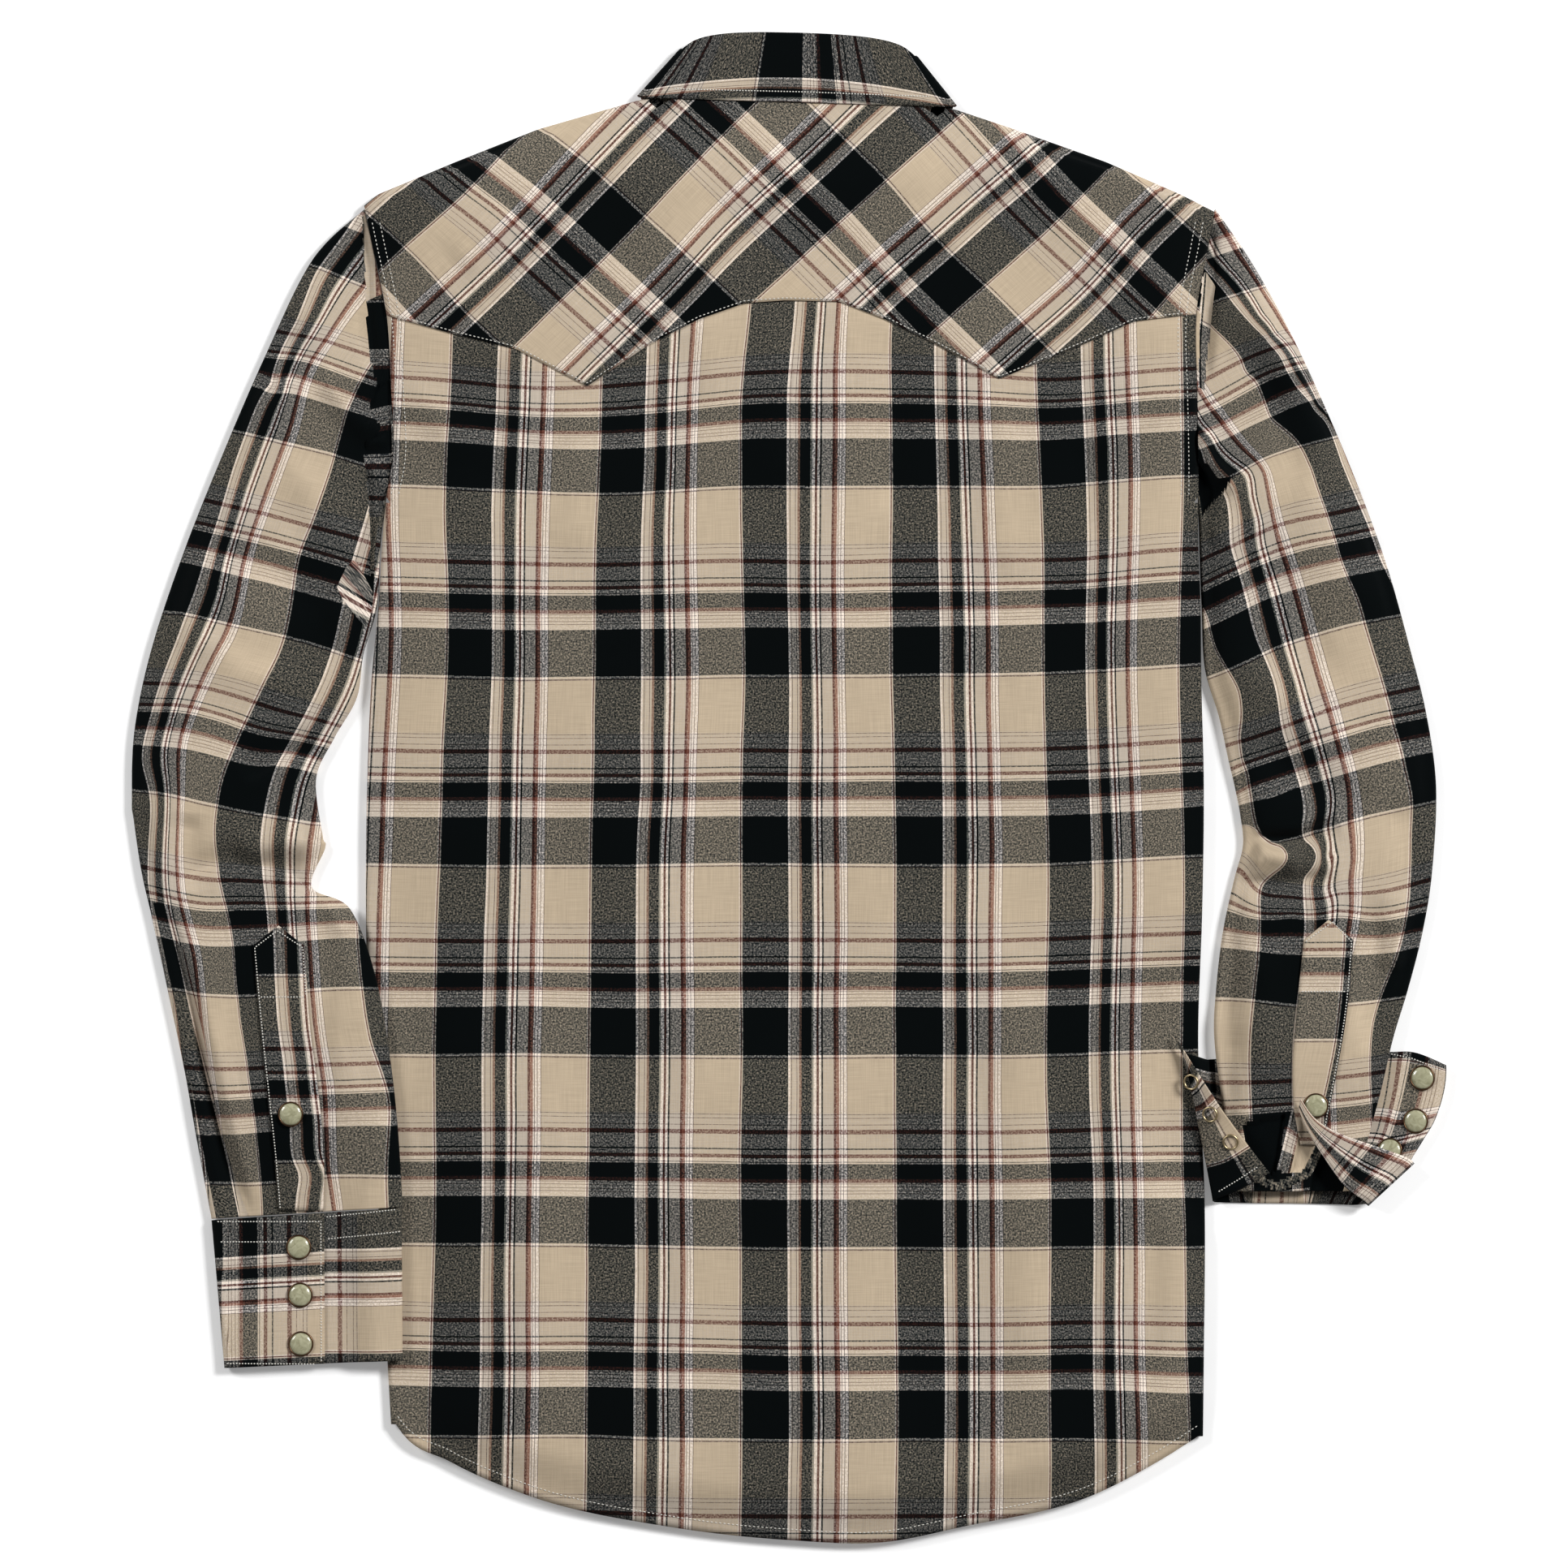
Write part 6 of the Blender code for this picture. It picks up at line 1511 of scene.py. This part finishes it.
def stitched(name, lines, tree, fine=False):
    """Rows of stitches by name, fine or coarse."""
    kind = FINE_STITCH if fine else COARSE_STITCH
    return [stitch_line(f"{name}_{number}", line, tree, *kind)
            for number, line in enumerate(lines, 1)]


def tower_rows(name, sections, peak, cross_y, tree, both):
    """Stitches along a placket's edges and point, and across it."""
    left, right = curve(sections, 0, 1), curve(sections, 0, 2)
    down = np.linspace(sections[-1, 0] + 1.0, sections[0, 0] - 1.0, 40)
    row = [(float(left(y)) + 0.9, y) for y in (down if both else down[-1:])] + [peak]
    row += [(float(right(y)) - 0.9, y) for y in down[::-1] if y > cross_y or not both]
    across = [(float(left(cross_y)) + 1.4, cross_y), (float(right(cross_y)) - 1.4, cross_y)]
    return stitched(name, [row, across], tree, True)


# ---- finishes ---------------------------------------------------------------
def node(tree, kind, **values):
    """A new node, with its sockets and settings by name."""
    made = tree.nodes.new(kind)
    for key, value in values.items():
        if key in made.inputs:
            made.inputs[key].default_value = value
        else:
            setattr(made, key, value)
    return made


def noise(tree, at, **values):
    """A noise texture read at a vector."""
    made = node(tree, 'ShaderNodeTexNoise', **values)
    tree.links.new(at, made.inputs["Vector"])
    return made.outputs


def stretched(tree, at, factors):
    """A vector, multiplied by factors."""
    made = node(tree, 'ShaderNodeVectorMath', operation='MULTIPLY')
    tree.links.new(at, made.inputs[0])
    made.inputs[1].default_value = factors
    return made.outputs[0]


def sums(tree, operation, a, b=None, c=None):
    """A sum of numbers or outputs."""
    made = node(tree, 'ShaderNodeMath', operation=operation)
    for socket, value in zip(made.inputs, (a, b, c)):
        if isinstance(value, (int, float)):
            socket.default_value = value
        elif value is not None:
            tree.links.new(value, socket)
    return made.outputs[0]


def blend(tree, part, a, b, kind='MIX'):
    """Two colours, mixed."""
    made = node(tree, 'ShaderNodeMix', data_type='RGBA', blend_type=kind)
    for socket, value in zip((made.inputs[0], made.inputs[6], made.inputs[7]), (part, a, b)):
        if isinstance(value, (int, float)):
            socket.default_value = value
        elif isinstance(value, tuple):
            socket.default_value = (*value, 1.0)
        else:
            tree.links.new(value, socket)
    return made.outputs[2]


def stripes(tree, fraction, size, rows):
    """Hard-edged stripes: rows of (start, colour), starts in parts of size."""
    made = node(tree, 'ShaderNodeValToRGB')
    made.color_ramp.interpolation = 'CONSTANT'
    marks = made.color_ramp.elements
    while len(marks) < len(rows):
        marks.new(0.5)
    for mark, (start, _) in zip(marks, rows):
        mark.position = start / size
    for mark, (_, colour) in zip(marks, rows):
        mark.color = (*[value / 255 for value in DYES[colour]], 1.0)
    tree.links.new(fraction, made.inputs[0])
    return made.outputs[0]


def woven_check():
    """The check: warp and weft stripes, their threads, and an uneven dye."""
    group = bpy.data.node_groups.new("woven_check", 'ShaderNodeTree')
    for name, side, kind in (("Grain", 'INPUT', 'Vector'), ("Wear", 'INPUT', 'Float'),
                             ("Colour", 'OUTPUT', 'Color'), ("Threads", 'OUTPUT', 'Float')):
        group.interface.new_socket(name, in_out=side, socket_type='NodeSocket' + kind)
    links = group.links
    start = node(group, 'NodeGroupInput')
    end = node(group, 'NodeGroupOutput')
    grain = start.outputs["Grain"]
    moved = node(group, 'ShaderNodeVectorMath', operation='MULTIPLY_ADD')
    links.new(noise(group, grain, Scale=3.0, Detail=2.0)["Color"], moved.inputs[0])
    moved.inputs[1].default_value = (0.006, 0.006, 0.0)
    links.new(grain, moved.inputs[2])
    split = node(group, 'ShaderNodeSeparateXYZ')
    links.new(moved.outputs[0], split.inputs[0])
    across = sums(group, 'FRACT', split.outputs[0])
    along = sums(group, 'FRACT', split.outputs[1])
    warp = stripes(group, across, WARP_PARTS, WARP_STRIPES)
    weft = blend(group, 1.0, stripes(group, along, WEFT_PARTS, WEFT_STRIPES),
                 stripes(group, along, WEFT_PARTS, WEFT_FINE), 'MULTIPLY')
    over, under = (sums(group, 'SINE', sums(group, 'MULTIPLY', split.outputs[i], math.pi * count))
                   for i, count in enumerate(THREADS))
    crossing = sums(group, 'MULTIPLY', over, under)
    fleck = noise(group, stretched(group, grain, FLECKS), Scale=1.0, Detail=2.0, Roughness=0.7)[0]
    uneven = sums(group, 'MULTIPLY_ADD', fleck, FLECK_STRENGTH, FLECK_MIDDLE)
    share = sums(group, 'MULTIPLY_ADD', crossing, WEAVE_DEPTH, uneven)
    cloth = blend(group, share, warp, weft)
    contrast = blend(group, 1.0, warp, weft, 'DIFFERENCE')
    cloth = blend(group, 1.0, cloth, blend(group, 1.0, contrast, SHADED, 'MULTIPLY'), 'SUBTRACT')
    for factors in SLUBS:
        slub = noise(group, stretched(group, grain, factors), Scale=1.0, Detail=1.0)[0]
        cloth = blend(group, 1.0, cloth, sums(group, 'MULTIPLY_ADD', slub, 0.16, 0.92), 'MULTIPLY')
    worn = noise(group, grain, Scale=1.3, Detail=4.0)[0]
    fade = sums(group, 'MULTIPLY', sums(group, 'SUBTRACT', worn, 0.5), start.outputs["Wear"])
    cloth = blend(group, 1.0, cloth, sums(group, 'ADD', fade, 1.0), 'MULTIPLY')
    linear = node(group, 'ShaderNodeGamma', Gamma=2.2)
    links.new(cloth, linear.inputs[0])
    links.new(linear.outputs[0], end.inputs["Colour"])
    links.new(sums(group, 'ABSOLUTE', crossing), end.inputs["Threads"])
    return group


def new_finish(name, **values):
    """A material, its tree and its shader, with sockets set by name."""
    finish = bpy.data.materials.new(name)
    finish.use_nodes = True
    shader = finish.node_tree.nodes["Principled BSDF"]
    for key, value in values.items():
        shader.inputs[key.replace("_", " ")].default_value = value
    return finish, finish.node_tree, shader


def object_noise(tree, **values):
    """Noise over the object's own places."""
    place = node(tree, 'ShaderNodeTexCoord')
    return noise(tree, place.outputs["Object"], **values)[0]


def add_bump(tree, shader, height, strength, distance):
    """Low relief from a height."""
    bump = node(tree, 'ShaderNodeBump', Strength=strength, Distance=distance)
    tree.links.new(height, bump.inputs["Height"])
    tree.links.new(bump.outputs[0], shader.inputs["Normal"])


def plaid_finish(name, wear):
    finish, tree, shader = new_finish(name, Roughness=0.9, Sheen_Weight=0.02, Sheen_Roughness=0.5,
                                      Specular_IOR_Level=0.05)
    grain = node(tree, 'ShaderNodeUVMap', uv_map="grain")
    check = node(tree, 'ShaderNodeGroup', node_tree=woven_check(), Wear=wear)
    tree.links.new(grain.outputs[0], check.inputs["Grain"])
    tree.links.new(check.outputs["Colour"], shader.inputs["Base Color"])
    add_bump(tree, shader, check.outputs["Threads"], 0.35, 0.00012)
    return finish


def pearl_finish():
    finish, tree, shader = new_finish("pearl_snap", Roughness=0.24, Coat_Weight=0.6,
                                      Coat_Roughness=0.08)
    swirl = object_noise(tree, Scale=240.0, Detail=3.0, Distortion=1.6)
    tones = node(tree, 'ShaderNodeValToRGB')
    dark, light = tones.color_ramp.elements
    dark.position, light.position = 0.3, 0.7
    dark.color, light.color = (0.23, 0.22, 0.13, 1.0), (0.40, 0.39, 0.26, 1.0)
    tree.links.new(swirl, tones.inputs[0])
    tree.links.new(tones.outputs[0], shader.inputs["Base Color"])
    add_bump(tree, shader, swirl, 0.1, 0.0001)
    return finish


def metal_finish(name, dark, light, roughness):
    finish, tree, shader = new_finish(name, Metallic=1.0, Roughness=roughness)
    tarnish = object_noise(tree, Scale=900.0, Detail=4.0)
    tree.links.new(blend(tree, tarnish, dark, light), shader.inputs["Base Color"])
    add_bump(tree, shader, tarnish, 0.15, 0.0001)
    return finish


def thread_finish(name, colour):
    finish, tree, shader = new_finish(name, Roughness=0.7, Sheen_Weight=0.2)
    twist = object_noise(tree, Scale=2500.0, Detail=1.0)
    darker = tuple(value * 0.75 for value in colour)
    tree.links.new(blend(tree, twist, darker, colour), shader.inputs["Base Color"])
    add_bump(tree, shader, twist, 0.3, 0.0001)
    return finish


# ---- build ------------------------------------------------------------------
plaid = plaid_finish("plaid_shirting", 0.10)
pearl = pearl_finish()
rim = metal_finish("dark_snap_rim", (0.06, 0.035, 0.02), (0.16, 0.09, 0.05), 0.35)
brass = metal_finish("brass_socket", (0.30, 0.23, 0.13), (0.58, 0.48, 0.30), 0.35)
thread = thread_finish("white_thread", (0.72, 0.70, 0.64))

back = make_back()
yoke = make_yoke()
left_front = make_front(-1, "left_front")
right_front = make_front(1, "right_front")
fall, stand = make_collar()
left_sleeve = make_sleeve(-1, "left_sleeve", LEFT_SLEEVE, LEFT_BUMPS, LEFT_FOLDS_AND_PAINTED_SHADE,
                          left_warp, left_weft, 0.0)
right_sleeve = make_sleeve(1, "right_sleeve", RIGHT_SLEEVE, RIGHT_BUMPS, RIGHT_FOLDS_AND_PAINTED_SHADE,
                           right_warp, right_weft, LAYER)
left_cuff = make_left_cuff()
right_cuff = make_right_cuff()
left_placket = make_placket("left", LEFT_PLACKET, left_sleeve, left_tower)
right_placket = make_placket("right", RIGHT_PLACKET, right_sleeve, right_tower)

left_arm = tree_of(left_sleeve, left_cuff, left_placket)
right_arm = tree_of(right_sleeve, right_placket)
cuff_tree = tree_of(right_cuff)
body_top = tree_of(back, yoke, fall)
for number in range(1, 4):
    make_snap(f"left_cuff_snap_{number}", left_arm)
    make_snap(f"right_cuff_snap_{number}", cuff_tree)
    base, axis = node_axis(f"right_cuff_socket_{number}")
    socket = make_turned(f"socket_{number}", SOCKET_PROFILE, 36, base, axis, brass)
    ready(socket, "snap_socket", f"right_cuff_socket_{number}")
make_snap("left_placket_snap", left_arm)
make_snap("right_placket_snap", right_arm)
for number in range(1, 9):
    make_snap(f"front_snap_{number}", flat=0.6)

xs = np.linspace(-216.0, 219.0, 400)
yoke_rows = stitched("yoke_stitching", [
    offset_line(paired(xs, yoke_line(xs)), 1.3)], body_top)
xs = np.linspace(-212.0, 222.0, 300)
back_rows = stitched("hem_stitching", [paired(xs, hem_line(xs) + 6.0)], body_top)
ys = np.linspace(306.0, 158.0, 80)
for side, name, near in ((-1, "left", 2.6), (1, "right", 5.4)):
    back_rows += stitched(name + "_armhole_stitching", [
        paired(body_edge(side, ys) - side * away, ys) for away in (near, near + 4.2)], body_top)
collar_rows = stitched("collar_stitching", COLLAR_STITCHING, body_top, True)
left_cuff_rows = stitched("left_cuff_stitching", LEFT_CUFF_STITCHING, left_arm, True)
right_cuff_rows = stitched("right_cuff_stitching", RIGHT_CUFF_STITCHING, cuff_tree, True)
left_placket_rows = tower_rows("left_placket_stitching", LEFT_PLACKET, (-276.8, -77.8), -113.7,
                               left_arm, True)
right_placket_rows = tower_rows("right_placket_stitching", RIGHT_PLACKET, (294.0, -73.0), -110.7,
                                right_arm, False)

# ---- floor, light and camera ------------------------------------------------
def make_floor():
    form = bmesh.new()
    bmesh.ops.create_grid(form, x_segments=1, y_segments=1, size=3.0)
    bmesh.ops.translate(form, vec=(0.0, 0.0, -0.0002), verts=form.verts)
    finish, tree, shader = new_finish("pale_floor", Roughness=0.9)
    tree.links.new(blend(tree, object_noise(tree, Scale=40.0), (0.84, 0.84, 0.84),
                         (0.87, 0.87, 0.87)), shader.inputs["Base Color"])
    shader.inputs["Emission Color"].default_value = (1.0, 1.0, 1.0, 1.0)
    shader.inputs["Emission Strength"].default_value = FLOOR_GLOW
    new_object("floor", form, finish)


def add_light(name, place, size, power):
    """A square lamp that looks at the origin."""
    lamp = bpy.data.lights.new(name, 'AREA')
    lamp.shape = 'SQUARE'
    lamp.size = size
    lamp.energy = power
    light = bpy.data.objects.new(name, lamp)
    light.location = place
    light.rotation_euler = (-Vector(place)).to_track_quat('-Z', 'Y').to_euler()
    bpy.context.scene.collection.objects.link(light)


make_floor()
scene = bpy.context.scene
scene.view_settings.view_transform = 'Standard'
world = bpy.data.worlds.new("studio")
world.use_nodes = True
sky = world.node_tree.nodes["Background"]
sky.inputs[0].default_value = (1.0, 1.0, 1.0, 1.0)
sky.inputs[1].default_value = SKY_STRENGTH
scene.world = world
for light in LIGHTS:
    add_light(*light)

camera_data = bpy.data.cameras.new("camera")
camera_data.sensor_width = 36.0
camera_data.lens = 36.0 * CAMERA_HEIGHT / VIEW_WIDTH
camera_data.clip_end = 50.0
camera = bpy.data.objects.new("camera", camera_data)
camera.location = (*CAMERA_PLACE, CAMERA_HEIGHT)
scene.collection.objects.link(camera)
scene.camera = camera
